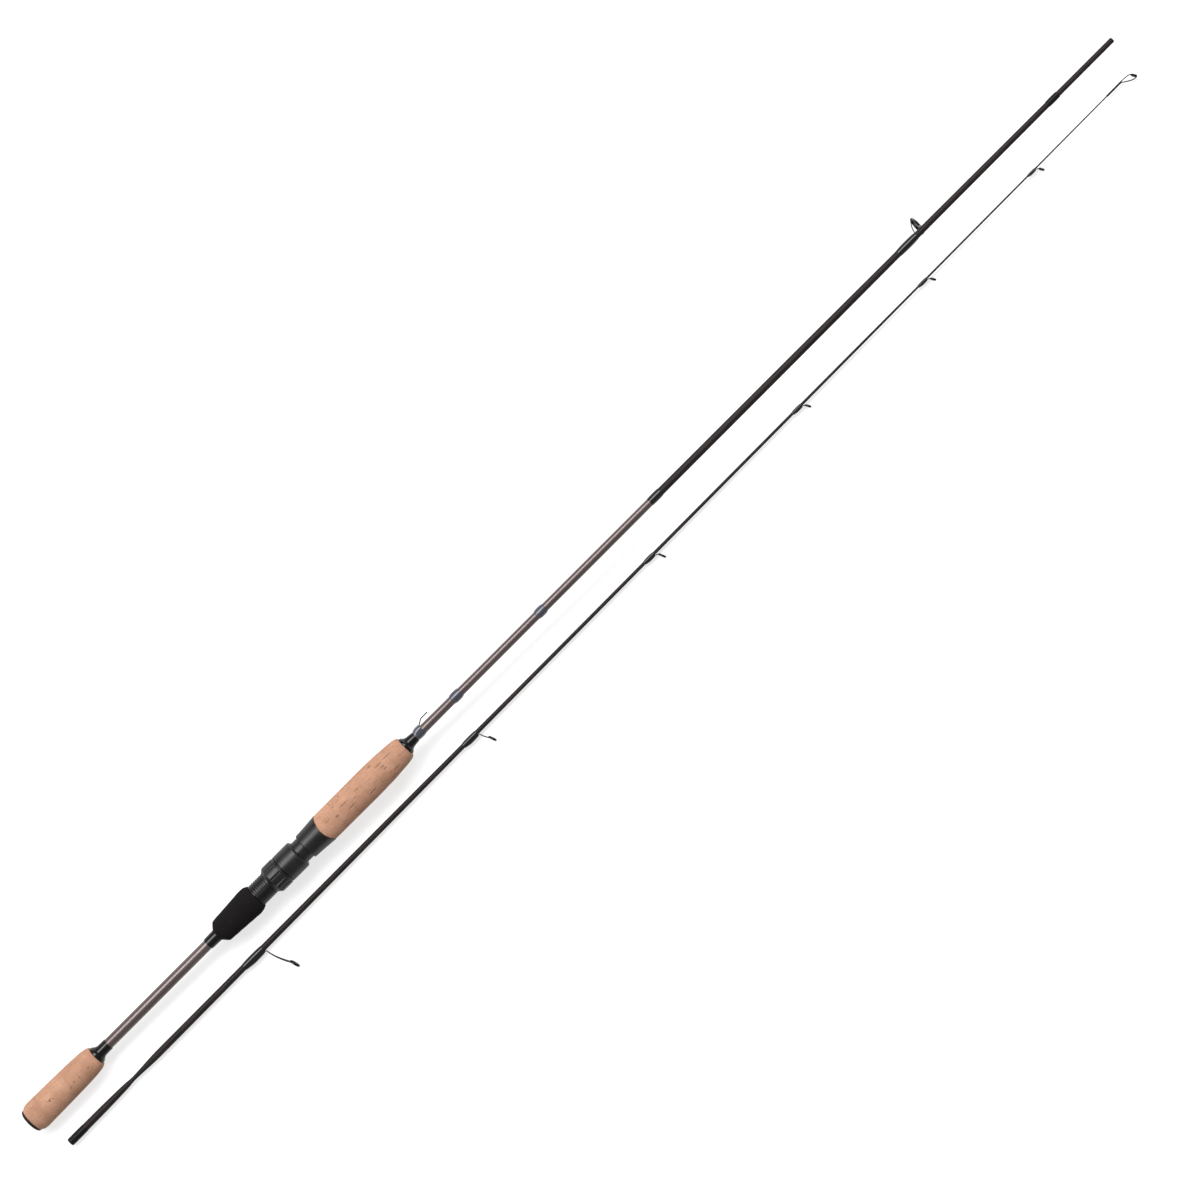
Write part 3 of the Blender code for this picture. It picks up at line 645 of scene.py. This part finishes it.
def thread_finish(name, dark, light, roughness, metallic, coat):
    """Wound thread under clear epoxy: colour darker between the turns of thread as painted shade in the grooves, a
    bump in turns of thread, a smooth coat over them.
    """
    finish = Finish(name, light, roughness, specular=0.1, metallic=metallic, coat=coat)
    turns = finish.bands(0.00022, 0.25)
    drift = finish.noise(340.0, 3.0)
    # painted shade: the colour runs dark between the turns of thread, in the grooves between them
    base = finish.ramp(turns, ((0.15, dark), (0.75, light)))
    finish.colour(finish.mix(finish.spread(drift, 0.0, 0.45), base, dark))
    finish.rough(drift, roughness * 0.85, roughness * 1.15)
    finish.bump(turns, 0.00002, 0.7)
    return finish.material


def metal_finish():
    finish = Finish("guide_metal", (0.045, 0.044, 0.046), 0.30, metallic=1.0)
    wear = finish.noise(900.0, 4.0, 0.65)
    finish.two_tone(wear, (0.010, 0.0098, 0.010), (0.024, 0.0232, 0.024), 0.72)
    finish.rough(wear, 0.24, 0.40)
    finish.bump(finish.noise(2600.0), 0.00001, 0.5)
    return finish.material


def ceramic_finish():
    finish = Finish("ceramic", (0.004, 0.004, 0.005), 0.10, coat=0.3)
    cloud = finish.noise(1200.0, 3.0)
    finish.two_tone(cloud, (0.0030, 0.0030, 0.0035), (0.0065, 0.0065, 0.0080))
    finish.rough(cloud, 0.07, 0.14)
    return finish.material


def arbor_finish():
    finish = Finish("arbor_foam", (0.30, 0.27, 0.22), 0.85, placed=False)
    grain = finish.noise(1300.0, 4.0, 0.7)
    finish.two_tone(grain, (0.22, 0.195, 0.155), (0.38, 0.345, 0.28))
    finish.bump(finish.add(grain, finish.cells(1000.0)), 0.00008, 0.7)
    return finish.material


FINISHES = {
    "cork": cork_finish(),
    "foam": foam_finish(),
    "rubber": rubber_finish(),
    "seat": seat_finish(),
    "gloss": gloss_finish(),
    "lacquer": lacquer_finish(),
    "carbon": carbon_finish(),
    # each thread's first colour is painted shade between its turns, and also the colour of its darker random
    # patches
    "silver": thread_finish("silver_thread", (0.030, 0.030, 0.044), (0.110, 0.110, 0.142), 0.34, 0.5, 0.8),
    "black": thread_finish("black_thread", (0.0016, 0.0014, 0.0014), (0.0044, 0.004, 0.004), 0.42, 0.0, 0.8),
    "matt": thread_finish("matt_thread", (0.0030, 0.0028, 0.0028), (0.0080, 0.0074, 0.0074), 0.55, 0.0, 0.1),
    "metal": metal_finish(),
    "ceramic": ceramic_finish(),
    "arbor": arbor_finish(),
    "plug": rubber_finish("plug_rubber", False),
}


# --- cork

def streak(stations, angles, radius, mark):
    """How deep one mark is at each point, from 0 outside it to 1 in its middle."""
    x, angle, length, width, twist = mark
    off = (angles[None, :] - angle + math.pi) % (2.0 * math.pi) - math.pi
    along = (stations[:, None] - x) / (length / 2.0)
    across = (off * radius + twist * (stations[:, None] - x)) / (width / 2.0)
    ragged = 0.30 * np.sin(along * 7.0 + angle * 31.0) + 0.18 * np.sin(along * 17.0 + x * 9000.0)
    return np.clip(1.0 - along ** 2 - (across + ragged) ** 2, 0.0, 1.0) ** 0.6


def cork_marks(rng, start, end, pits, streaks):
    """Small pits and longer streaks for one ring: station, angle, length, width and twist."""
    marks = []
    for _ in range(pits):
        size = rng.uniform(0.0005, 0.0012)
        marks.append((rng.uniform(start, end), rng.uniform(0.0, 2.0 * math.pi),
                      size * rng.uniform(0.9, 2.0), size * rng.uniform(0.6, 1.0), rng.uniform(-0.5, 0.5)))
    for _ in range(streaks):
        marks.append((rng.uniform(start, end), rng.uniform(0.0, 2.0 * math.pi),
                      rng.uniform(0.0025, 0.0060), rng.uniform(0.0004, 0.0007), rng.uniform(-0.12, 0.12)))
    return marks


def saddle(angles):
    """How far back the joint between the fixed hood and the cork lies: it curves over the top."""
    return SADDLE * np.clip(np.cos(angles - TOP_ANGLE), 0.0, 1.0) ** 2


def cork_ring(node, span, outer, bore, rng, marked, curved):
    """One ring: turned outline, eased rims, pits sunk in its surface and its own tone.

    The rear face of a curved one follows the hood's edge.
    """
    start, end = span
    angles = turn_angles(160)
    rims = np.array([0.0, 0.00006, 0.00014])
    stations = np.concatenate([start + rims, even(start + 0.0004, end - 0.0004, CORK_STEP), end - rims[::-1]])
    radii = np.array([outer(x) for x in stations])
    near = np.minimum(stations - start, end - stations)
    radii = radii - RIM_DROP * (1.0 - ease(near / 0.00016))
    pits = np.zeros((len(stations), len(angles)))
    depth = np.zeros_like(pits)
    chosen, pit_count, streak_count, darkest = marked
    for mark in cork_marks(rng, start, end, pit_count, streak_count):
        dark = rng.uniform(0.3, 1.0) * darkest
        amount = streak(stations, angles, radii.mean(), mark)
        pits = np.maximum(pits, amount * dark)
        depth = np.maximum(depth, amount * dark * PIT_DEPTH)
    for x, turn, length, width in chosen:
        angle = TOP_ANGLE + math.radians(turn)
        amount = streak(stations, angles, radii.mean(), (x, angle, length, width, 0.0))
        pits = np.maximum(pits, amount * CHOSEN_DARKNESS)
        depth = np.maximum(depth, amount * CHOSEN_DEPTH)
    back = np.outer(ease((end - stations) / (end - start)) * curved, saddle(angles))
    rows = ring_rows(stations[:, None] - back, radii[:, None] - depth, angles)
    inner = ring_rows(np.array([[end], [start]]) - back[[-1, 0]], [bore, bore], angles)
    item = make_piece(node, np.concatenate([rows, inner]), FINISHES["cork"])
    hidden = np.zeros(2 * len(angles))
    add_values(item, "pit", np.concatenate([pits.ravel(), hidden]))
    add_values(item, "tone", np.full(len(item.data.vertices), rng.random()))


def add_values(item, name, values):
    layer = item.data.attributes.new(name, "FLOAT", "POINT")
    layer.data.foreach_set("value", values.astype(np.float32))


def cork_grip(prefix, count, seed, marked, curved):
    nodes = [f"{prefix}_{number}" for number in range(1, count + 1)]
    outline, start, end, bore = profile(*nodes)
    outer = smooth(outline)
    start -= JOINT_CLOSED
    step = (end - start) / count
    rng = random.Random(seed)
    for number, node in enumerate(nodes):
        low = start + step * number
        high = end if number == count - 1 else low + step - SEAM
        cork_ring(node, (low, high), outer, bore, rng, marked, curved and number == 0)


# --- grips, trim and blanks

def butt_cap():
    """Cap with a rounded shoulder and a shallow ring groove round its flat end."""
    outline = profile("butt_cap")[0]
    face, back = outline[0], outline[-1]
    groove = 0.00018
    shares = ((0.0, 0.30), (groove, 0.34), (groove, 0.46), (0.0, 0.50), (0.0, 0.55), (0.0, 0.99))
    shape = [(face[0] + depth, face[1] * share) for depth, share in shares]
    shape += rounded(outline, 0.0006)[1:]
    shape.append((back[0], back[1] - 0.0001))
    turned("butt_cap", shape, FINISHES["rubber"], bored=False, sharp=50.0)


def winding_check(node):
    """Trumpet-shaped trim with eased rims."""
    outline, start, end, bore = profile(node)
    outer = smooth(outline)
    rear, front = outer(start), outer(end)
    rim = 0.0002
    shape = [(start, rear - rim), (start + rim * 0.6, rear - rim * 0.25)]
    shape += [(x, outer(x)) for x in even(start, end, 0.0003)[1:-1]]
    shape += [(end - rim * 0.6, front - rim * 0.25), (end, front - rim), (end, bore), (start, bore)]
    turned(node, shape, FINISHES["gloss"])


def collar():
    outline, start, end, bore = profile("rear_grip_collar")
    shape = rounded(outline, 0.0004, 3) + [(end, bore), (start, bore)]
    turned("rear_grip_collar", shape, FINISHES["gloss"])


def foam_grip():
    """Foam grip: chamfered at the rear, rounded at the front, its skin very slightly uneven."""
    outline, start, end, bore = profile("eva_rear_grip")
    outer = smooth(rounded(outline, 0.0011, 5))
    angles = turn_angles(120)
    stations = even(start, end, 0.0005)
    radii = np.array([outer(x) for x in stations])[:, None] * np.ones(len(angles))
    wobble = np.sin(stations[:, None] * 900.0 + 3.0 * np.sin(angles)) * np.sin(angles * 5.0 + 1.0)
    rows = ring_rows(stations, radii - 0.00004 * (1.0 + wobble), angles)
    inner = ring_rows([end, start], [bore, bore], angles)
    make_piece("eva_rear_grip", np.concatenate([rows, inner]), FINISHES["foam"], sharp=60.0)


def butt_blank():
    """Tapered hollow tube, lacquered at its rear and bare towards the rounded spigot."""
    outline, start, end = profile("butt_blank")[:3]
    outer = smooth(outline)
    corner = outline[-2][0]
    shape = [(x, outer(x)) for x in even(start, corner, LONG_STEP)]
    tip_radius = outer(corner)
    reach = end - corner
    for share in (0.25, 0.5, 0.7, 0.85, 0.95, 1.0):
        shape.append((corner + reach * share, tip_radius - reach * (1.0 - math.sqrt(1.0 - share ** 2))))
    shape[-1] = (end, tip_radius - reach)
    walls = [(x, outer(x) - BLANK_WALL) for x in even(start, corner, 0.030)[::-1]]
    shape += [(end, tip_radius - BLANK_WALL)] + walls
    item = turned("butt_blank", shape, FINISHES["lacquer"], sides=64)
    item.data.materials.append(FINISHES["carbon"])
    for face in item.data.polygons:
        if face.center.x > LACQUER_END:
            face.material_index = 1


def tip_blank():
    outline, start, end = profile("tip_blank")[:3]
    outer = smooth(outline)
    inner = outer(TIP_BORE_END) - BLANK_WALL
    shape = [(TIP_BORE_END, inner)] + [(start + x, radius) for x, radius in SOCKET_BORE]
    shape.append((start, outer(start) - 0.00012))
    shape += [(x, outer(x)) for x in even(start + 0.00015, end - 0.0002, LONG_STEP)]
    shape += [(end, outer(end) * 0.6)]
    turned("tip_blank", shape, FINISHES["carbon"], sides=56, bored=False)


# --- wraps

def football(share):
    """Height of an epoxy coat along a wrap: feathered ends and a full middle."""
    return (1.0 - np.abs(2.0 * share - 1.0) ** 2.6) ** 0.75


def plain_wrap(node, finish, later=0.0):
    """A band of thread; it may start a little later than its CAD node."""
    outline, start, end, bore = profile(node)
    start += later
    top = max(radius for x, radius in outline)
    stations = even(start, end, WRAP_STEP)
    base = bore + THREAD_BASE
    radii = base + (top - base) * football((stations - start) / (end - start))
    shape = list(zip(stations, radii)) + [(end, bore), (start, bore)]
    turned(node, shape, FINISHES[finish], sides=72)


def foot_wrap(node, side, finish, saving=0.0):
    """A wrap that stands out over a foot, less a saving, and closes down to the blank at its toe."""
    start, end, bore = profile(node)[1:]
    y, z = local_points(node)[:, 1:].T
    radii = np.hypot(y, z)
    around = np.arctan2(y, -z) - side
    low = radii[np.cos(around) < -0.5].max()
    lump = radii.max() - low - saving
    base = bore + THREAD_BASE
    height = low - base
    angles = turn_angles(96)
    stations = even(start, end, WRAP_STEP)
    share = (stations - start) / (end - start)
    off = np.abs((angles - side + math.pi) % (2.0 * math.pi) - math.pi)
    full, gone = WRAP_OVER_FOOT
    over_foot = ease((gone - off) / (gone - full))
    along_foot = 0.30 + 0.70 * ease(share / 0.45) - 0.12 * ease((share - 0.9) / 0.1)
    walls = base + height * football(share)[:, None] + lump * along_foot[:, None] * over_foot
    inner = bore + 0.6 * lump * over_foot[None, :] * np.array([[0.8], [0.3]])
    rows = np.concatenate([ring_rows(stations, walls, angles), ring_rows([end, start], inner, angles)])
    make_piece(node, rows, FINISHES[finish])


# --- guides

def tilt(point, centre, lean):
    """Turn a point about a line along Y through the ring's centre, so its far side leans forward."""
    x, y, z = point
    return Vector((
        centre[0] + x * math.cos(lean) - z * math.sin(lean),
        y,
        centre[1] + x * math.sin(lean) + z * math.cos(lean),
    ))


def ring_part(centre, lean, outline):
    """A ring in the guide's plane, from a closed outline of (along the line, radius)."""
    flat = ring_rows(*zip(*outline), turn_angles(64))
    return rows_mesh("part", [[tilt(point, centre, lean) for point in row] for row in flat], True)


def ring_sizes(outer, bore):
    """Seat radius between the ceramic and its holder, and the holder's half width."""
    return 0.5 * (bore + outer), 0.00050 + 0.06 * outer


def holder(centre, lean, outer, bore):
    seat, half = ring_sizes(outer, bore)
    inside = seat + FINE_GAP * 0.5
    corners = [(-half, inside), (half, inside), (half, outer), (-half, outer)]
    return ring_part(centre, lean, rounded(corners, min(half, outer - inside) * 0.55, closed=True))


def ceramic(node, centre, lean, outer, bore):
    """Polished insert: a round inner wall with a lip on each side of the holder."""
    seat, half = ring_sizes(outer, bore)
    reach = half * 1.15
    thick = seat - bore
    turns = [math.pi * k / 12.0 for k in range(13)]
    outline = [(-reach * math.cos(turn), seat - thick * math.sin(turn) ** 0.8) for turn in turns]
    item = add_item("visible_" + node, ring_part(centre, lean, outline))
    stand_for(item, node, FINISHES["ceramic"])


def guide_legs(foot_end, outer, tall, centre, lean):
    """Two spread legs on a tall guide, or one short neck on a low one."""
    radius = 0.00030 + 0.016 * outer
    legs = []
    for side in ((-1.0, 1.0) if tall else (0.0,)):
        spread = LEG_SPREAD * side
        edge = outer - 0.25 * radius
        meet = tilt(Vector((0.0, edge * math.sin(spread), edge * math.cos(spread))), centre, lean)
        root = foot_end + Vector((0.0 if tall else -0.0003, side * 0.00012, 0.0))
        run = meet - root
        knee = root + Vector((0.2 * run.x, 0.65 * run.y, 0.5 * run.z))
        path = bent(root, knee, meet, 20 if tall else 8)
        if tall:
            legs.append(wire_part(path, radius))
        else:
            sizes = [(radius * (2.2 - 0.5 * i / len(path)), radius * 1.05) for i in range(len(path))]
            legs.append(bar_part(path, sizes, 2.6))
    return legs


def guide(name):
    """Frame with its foot and legs, the ceramic ring in it, and the wrap over the foot."""
    heel, height, ahead, outer, bore, lean_degrees, foot_length = GUIDES[name]
    lean = math.radians(lean_degrees)
    centre = (heel + ahead, -height)
    frame_node, wrap_node = name + "_frame", name + "_wrap"
    blank = profile(wrap_node)[-1] - FINE_GAP
    tall = height > TALL_GUIDE
    half = (FOOT_THICKNESS if tall else LOW_FOOT_THICKNESS) / 2.0
    middle = blank + FINE_GAP + half + FOOT_PLAY
    stations = even(heel - foot_length, heel + 0.0003, 0.0009)
    path = [Vector((x, 0.0, -middle)) for x in stations]
    sizes = []
    for x in stations:
        share = float(ease((x - stations[0]) / (0.6 * foot_length)))
        sizes.append((0.00030 + share * min(0.0006, 0.30 * blank), half * (0.45 + 0.55 * share)))
    foot = bar_part(path, sizes, 2.8)
    foot_end = Vector((heel, 0.0, -middle))
    parts = [holder(centre, lean, outer, bore), foot]
    parts += guide_legs(foot_end, outer, tall, centre, lean)
    stand_for(fuse("visible_" + frame_node, parts), frame_node, FINISHES["metal"])
    ceramic(name + "_ring", centre, lean, outer, bore)
    foot_wrap(wrap_node, 0.0, "black", 0.0 if tall else LOW_WRAP_SAVING)


def tip_top():
    """Tip-top: tube on the blank's end, ring, one wire above it and two thinner wires below."""
    rear, front = TIP_TUBE
    inner, outer = TIP_TUBE_RADII
    rim = 0.00010
    outline = [(front - 0.0050, inner), (rear + rim, inner), (rear, inner + rim), (rear + rim, outer),
               (front - 0.0006, outer), (front - 0.0001, outer * 0.8), (front, outer * 0.4)]
    tube = rows_mesh("part", ring_rows(*zip(*outline), turn_angles(40)), False)
    ring, bore = TIP_RING_RADII
    parts = [holder(TIP_RING_CENTRE, TIP_RING_LEAN, ring, bore), tube]
    root = Vector((front - 0.0010, 0.0, 0.00025))
    meet = tilt(Vector((0.0, 0.0, ring - 0.0001)), TIP_RING_CENTRE, TIP_RING_LEAN)
    knee = Vector((meet.x - 0.0007, 0.0, root.z))
    parts.append(wire_part(bent(root, knee, meet, 14), TIP_WIRE))
    for side in (-1.0, 1.0):
        spread = side * TIP_WIRE_SPREAD
        across, down = math.sin(spread), -math.cos(spread)
        meet = tilt(Vector((-0.0002, ring * across, ring * down)), TIP_RING_CENTRE, TIP_RING_LEAN)
        edge = ring + 0.0006
        knee = tilt(Vector((-0.0028, edge * across, edge * down)), TIP_RING_CENTRE, TIP_RING_LEAN)
        root = Vector((front - 0.0010, side * 0.0002, -0.00025))
        parts.append(wire_part(bent(root, knee, meet, 14), TIP_WIRE * 0.9))
    stand_for(fuse("visible_tip_top_frame", parts), "tip_top_frame", FINISHES["metal"])
    ceramic("tip_top_ring", TIP_RING_CENTRE, TIP_RING_LEAN, ring, bore)


def hook_keeper():
    """Open wire hook: a foot under its wrap, a short rise and an arm along the blank."""
    rear, front, bore = profile("keeper_wrap")[1:]
    blank = bore - FINE_GAP
    low = bore + KEEPER_WIRE + FOOT_PLAY
    heel = front + 0.0004
    top = blank + KEEPER_RISE
    route = ((rear + 0.0012, low), (heel - 0.0006, low), (heel + 0.0003, low + 0.0003),
             (heel + 0.0030, top - 0.0005), (heel + 0.0040, top - 0.00005),
             (heel + 0.0037 + 0.6 * KEEPER_REACH, top), (heel + 0.0037 + KEEPER_REACH - 0.0003, top + 0.0001))
    points = [(x, r * math.sin(KEEPER_ANGLE), -r * math.cos(KEEPER_ANGLE)) for x, r in route]
    mesh = wire_part(through(points, 8), KEEPER_WIRE, 16)
    stand_for(add_item("visible_hook_keeper", mesh), "hook_keeper", FINISHES["metal"])
    foot_wrap("keeper_wrap", KEEPER_ANGLE, "silver")


# --- reel seat

def fold(angles):
    """Unsigned angle from the guide side."""
    return np.abs((angles + math.pi) % (2.0 * math.pi) - math.pi)


def seat_angles(key_half_width):
    """Even angles, with those on the edges of the pocket and the keyway put in exactly."""
    key = key_half_width / BARREL_RADIUS
    edge = math.radians(0.6)
    special = [POCKET_HALF_ANGLE, POCKET_HALF_ANGLE + edge]
    special += [2.0 * math.pi - angle for angle in special]
    special += [KEYWAY_ANGLE + side * offset for side in (-1.0, 1.0) for offset in (key, key + edge)]
    spare = math.radians(0.8)
    plain = [a for a in turn_angles(240) if all(abs(a - s) > spare for s in special)]
    return np.array(sorted(plain + special))


def bulge(angles, radius, height):
    """Outer wall of a hood: round, but standing out over the reel foot's pocket."""
    full, end = HOOD_BULGE_ANGLES
    return radius + (height - radius) * ease((end - fold(angles)) / (end - full))


def thread_radius(x, angles):
    """Helical thread that rises out of the barrel at its rear and runs out at its front."""
    last = THREAD_START + THREAD_PITCH * THREAD_TURNS
    share = ((x - THREAD_START) / THREAD_PITCH - angles / (2.0 * math.pi)) % 1.0
    ridge = ease((share - 0.02) / 0.26) * ease((0.92 - share) / 0.26)
    run_out = float(ease((x - last + 0.0006) / 0.0012))
    return BARREL_RADIUS - THREAD_DEPTH * (1.0 - ridge) * (1.0 - run_out)


def barrel(x, angles):
    """Barrel at a station: thread, flat bed with its raised land, and keyway opposite."""
    off = fold(angles)
    bed = BED_DEPTH
    if LAND[0] - LAND_RISE < x < LAND[1] + LAND_RISE:
        bed += min(LAND_RISE, min(x - LAND[0], LAND[1] - x) + LAND_RISE)
    flat = bed / np.maximum(0.2, np.cos(off))
    cut = np.abs(angles - KEYWAY_ANGLE) <= KEYWAY_HALF_WIDTH / BARREL_RADIUS + 1e-6
    key = np.where(cut, BARREL_RADIUS - KEYWAY_DEPTH, 1.0)
    return np.minimum(np.minimum(thread_radius(x, angles), flat), key)


def pocket_row(angles, share, deep, roof):
    """One row of the fixed hood's rear face, which dips into the pocket on the guide side."""
    low = barrel(FIXED_HOOD_START, angles)
    inside = fold(angles) <= POCKET_HALF_ANGLE + 1e-6
    x = np.where(inside & deep, POCKET_END, FIXED_HOOD_START)
    radius = np.where(inside, POCKET_ROOF if roof else low, low + share * (FIXED_HOOD_RADII[0] - low))
    return wall_row(x, radius, angles)


def reel_seat_body():
    """Threaded barrel with its flat bed and keyway, in one piece with the fixed hood."""
    start, end = profile("reel_seat_body")[1:3]
    angles = seat_angles(KEYWAY_HALF_WIDTH)
    last = THREAD_START + THREAD_PITCH * (THREAD_TURNS + 0.5)
    plain = [last + 0.0008, *BARREL_STOPS, LAND[0] - LAND_RISE, *LAND, LAND[1] + LAND_RISE, FIXED_HOOD_START]
    stations = list(even(start + 0.0002, last, THREAD_PITCH / 16.0)) + plain
    rows = [wall_row(start, barrel(start, angles) - 0.0002, angles)]
    rows += [wall_row(x, barrel(x, angles), angles) for x in stations]
    rows += [pocket_row(angles, 0.15, True, False), pocket_row(angles, 0.30, True, True),
             pocket_row(angles, 0.45, False, True)]
    rear, front = FIXED_HOOD_RADII
    mouth = FIXED_HOOD_START
    flare = smooth([(mouth, rear), (mouth + 0.0080, rear + 0.00045), (end, front)])
    height = smooth([(mouth, HOOD_BULGE), (POCKET_END + 0.0004, HOOD_BULGE), (end, front + 0.0002)])
    for ahead, drop in HOOD_LIP:
        x = mouth + ahead
        rows.append(wall_row(x, bulge(angles, flare(x) - drop, height(x) - drop), angles))
    for x in even(mouth + 0.0010, end, 0.0006):
        back = saddle(angles) * ease((x - mouth - 0.0010) / (end - mouth - 0.0010))
        rows.append(wall_row(x - back, bulge(angles, flare(x), height(x)), angles))
    rows.append(ring_rows([end - saddle(angles)], [SEAT_BORE], angles)[0])
    rows.append(ring_rows([start], [SEAT_BORE], angles)[0])
    make_piece("reel_seat_body", rows, FINISHES["seat"], sharp=35.0)


def sliding_hood():
    """Sleeve on the barrel, keyed to it, with a through pocket for the reel foot."""
    start, end = profile("sliding_hood")[1:3]
    rib = KEYWAY_HALF_WIDTH - KEYWAY_PLAY
    angles = seat_angles(rib)
    full = HOOD_RADIUS
    corners = [(start, full - 0.0012), (start, full), (end - 0.0011, full), (end, full - 0.0011),
               (end, full - 0.0016)]
    shape = rounded(corners, 0.0005, 5)
    rows = [wall_row(x, bulge(angles, radius, HOOD_BULGE + radius - full), angles) for x, radius in shape]
    off = fold(angles)
    wall = np.where(np.abs(angles - KEYWAY_ANGLE) <= rib / BARREL_RADIUS + 1e-6,
                    BARREL_RADIUS - KEYWAY_DEPTH + 2.0 * RUNNING_GAP, BARREL_RADIUS + RUNNING_GAP)
    wall = np.where(off <= POCKET_HALF_ANGLE + 1e-6, POCKET_ROOF, wall)
    rows += [wall_row(x, wall, angles) for x in (end, start)]
    make_piece("sliding_hood", rows, FINISHES["seat"], sharp=35.0)


def locking_nut():
    """Panelled nut: grooves between its panels, a chamfered rear and a plain front flange."""
    start, end, bore = profile("locking_nut")[1:]
    angles = turn_angles(288)
    step = 2.0 * math.pi / NUT_PANELS
    share = (angles / step) % 1.0
    groove = ease(1.0 - np.abs(share - NUT_GROOVE_CENTRE) / NUT_GROOVE_WIDTH)
    full, floor_radius, flange = NUT_RADIUS, NUT_RADIUS - NUT_GROOVE, NUT_RADIUS - 0.00015
    corners = [(start, full - 0.0021), (start + 0.0002, full - 0.0018), (start + 0.0024, full),
               (end - 0.0018, full), (end - 0.0014, floor_radius), (end - 0.0006, floor_radius),
               (end - 0.0004, flange), (end - 0.0001, flange), (end, full - 0.0004)]
    rows = []
    for x, radius in rounded(corners, 0.0004):
        fade = float(ease((end - 0.0014 - x) / 0.0010))
        cut = NUT_RADIUS - NUT_GROOVE * groove * fade
        rows.append(wall_row(x, np.minimum(radius, cut), angles))
    rim = 0.00025
    for x, extra in ((end, rim), (end - rim, 0.0), (start + rim, 0.0), (start, rim)):
        rows.append(ring_rows([x], [bore + extra], angles)[0])
    make_piece("locking_nut", rows, FINISHES["seat"], sharp=35.0)


# --- floor, light and camera

def floor():
    """A pale table that is faintly lit from within, which keeps shadows on it light."""
    mesh = bpy.data.meshes.new("floor")
    corners = [(a * FLOOR_REACH, b * FLOOR_REACH) for a, b in ((-1, -1), (1, -1), (1, 1), (-1, 1))]
    points = [(MIDDLE.x + x, MIDDLE.y + y, CAD_LOW.z) for x, y in corners]
    mesh.from_pydata(points, [], [(0, 1, 2, 3)])
    item = add_item("floor", mesh)
    finish = Finish("floor", (0.36, 0.36, 0.36), 0.9, specular=0.1, placed=False)
    finish.two_tone(finish.noise(3.0), (0.355,) * 3, (0.365,) * 3)
    finish.set("Emission Color", (1.0, 1.0, 1.0))
    finish.set("Emission Strength", FLOOR_GLOW)
    mesh.materials.append(finish.material)


def lights():
    """White surroundings, and area lights beside the rod that face its middle."""
    world = bpy.data.worlds.new("studio")
    world.use_nodes = True
    backdrop = world.node_tree.nodes["Background"]
    backdrop.inputs["Color"].default_value = (1.0, 1.0, 1.0, 1.0)
    backdrop.inputs["Strength"].default_value = WORLD_STRENGTH
    bpy.context.scene.world = world
    for name, (y, z), size, power in LIGHTS:
        data = bpy.data.lights.new(name, "AREA")
        data.shape = "RECTANGLE"
        data.size, data.size_y = size
        data.energy = power
        item = add_item(name, data)
        item.location = (MIDDLE.x, y, z)
        item.rotation_euler = Vector((0.0, -y, -z)).to_track_quat("-Z", "Y").to_euler()


def camera():
    """Straight above the middle of the rod, with the rod running up to the right."""
    data = bpy.data.cameras.new("camera")
    data.sensor_width = 36.0
    data.lens = data.sensor_width * CAMERA_PLACE[2] / VIEW_WIDTH
    data.clip_end = 50.0
    item = add_item("camera", data)
    up = Vector((math.sin(HEADING), math.cos(HEADING), 0.0))
    right = Vector((math.cos(HEADING), -math.sin(HEADING), 0.0))
    matrix = Matrix((right, up, Vector((0.0, 0.0, 1.0)))).transposed().to_4x4()
    matrix.translation = Vector(CAMERA_PLACE)
    item.matrix_world = matrix
    bpy.context.scene.camera = item


# --- making

HIDDEN = {"seat_arbor_1": "arbor", "seat_arbor_2": "arbor", "seat_arbor_3": "arbor", "spigot_plug": "plug"}

camera()
lights()
floor()
bpy.context.scene.view_settings.view_transform = "Standard"
butt_cap()
cork_grip("rear_cork_ring", 5, 11, (REAR_MARKS, 14, 4, 0.42), False)
cork_grip("fore_cork_ring", 6, 23, (FORE_MARKS, 24, 8, 0.62), True)
winding_check("rear_winding_check")
winding_check("fore_winding_check")
collar()
foam_grip()
butt_blank()
tip_blank()
reel_seat_body()
sliding_hood()
locking_nut()
hook_keeper()
plain_wrap("band_wrap_1", "silver")
plain_wrap("band_wrap_2", "silver", 0.0023)
plain_wrap("join_wrap", "black")
plain_wrap("ferrule_stop_wrap", "matt")
plain_wrap("socket_wrap", "matt")
for guide_name in GUIDES:
    guide(guide_name)
tip_top()
for hidden_node, finish_name in HIDDEN.items():
    hidden_mesh = frame["nodes"][hidden_node].data
    hidden_mesh.materials.clear()
    hidden_mesh.materials.append(FINISHES[finish_name])
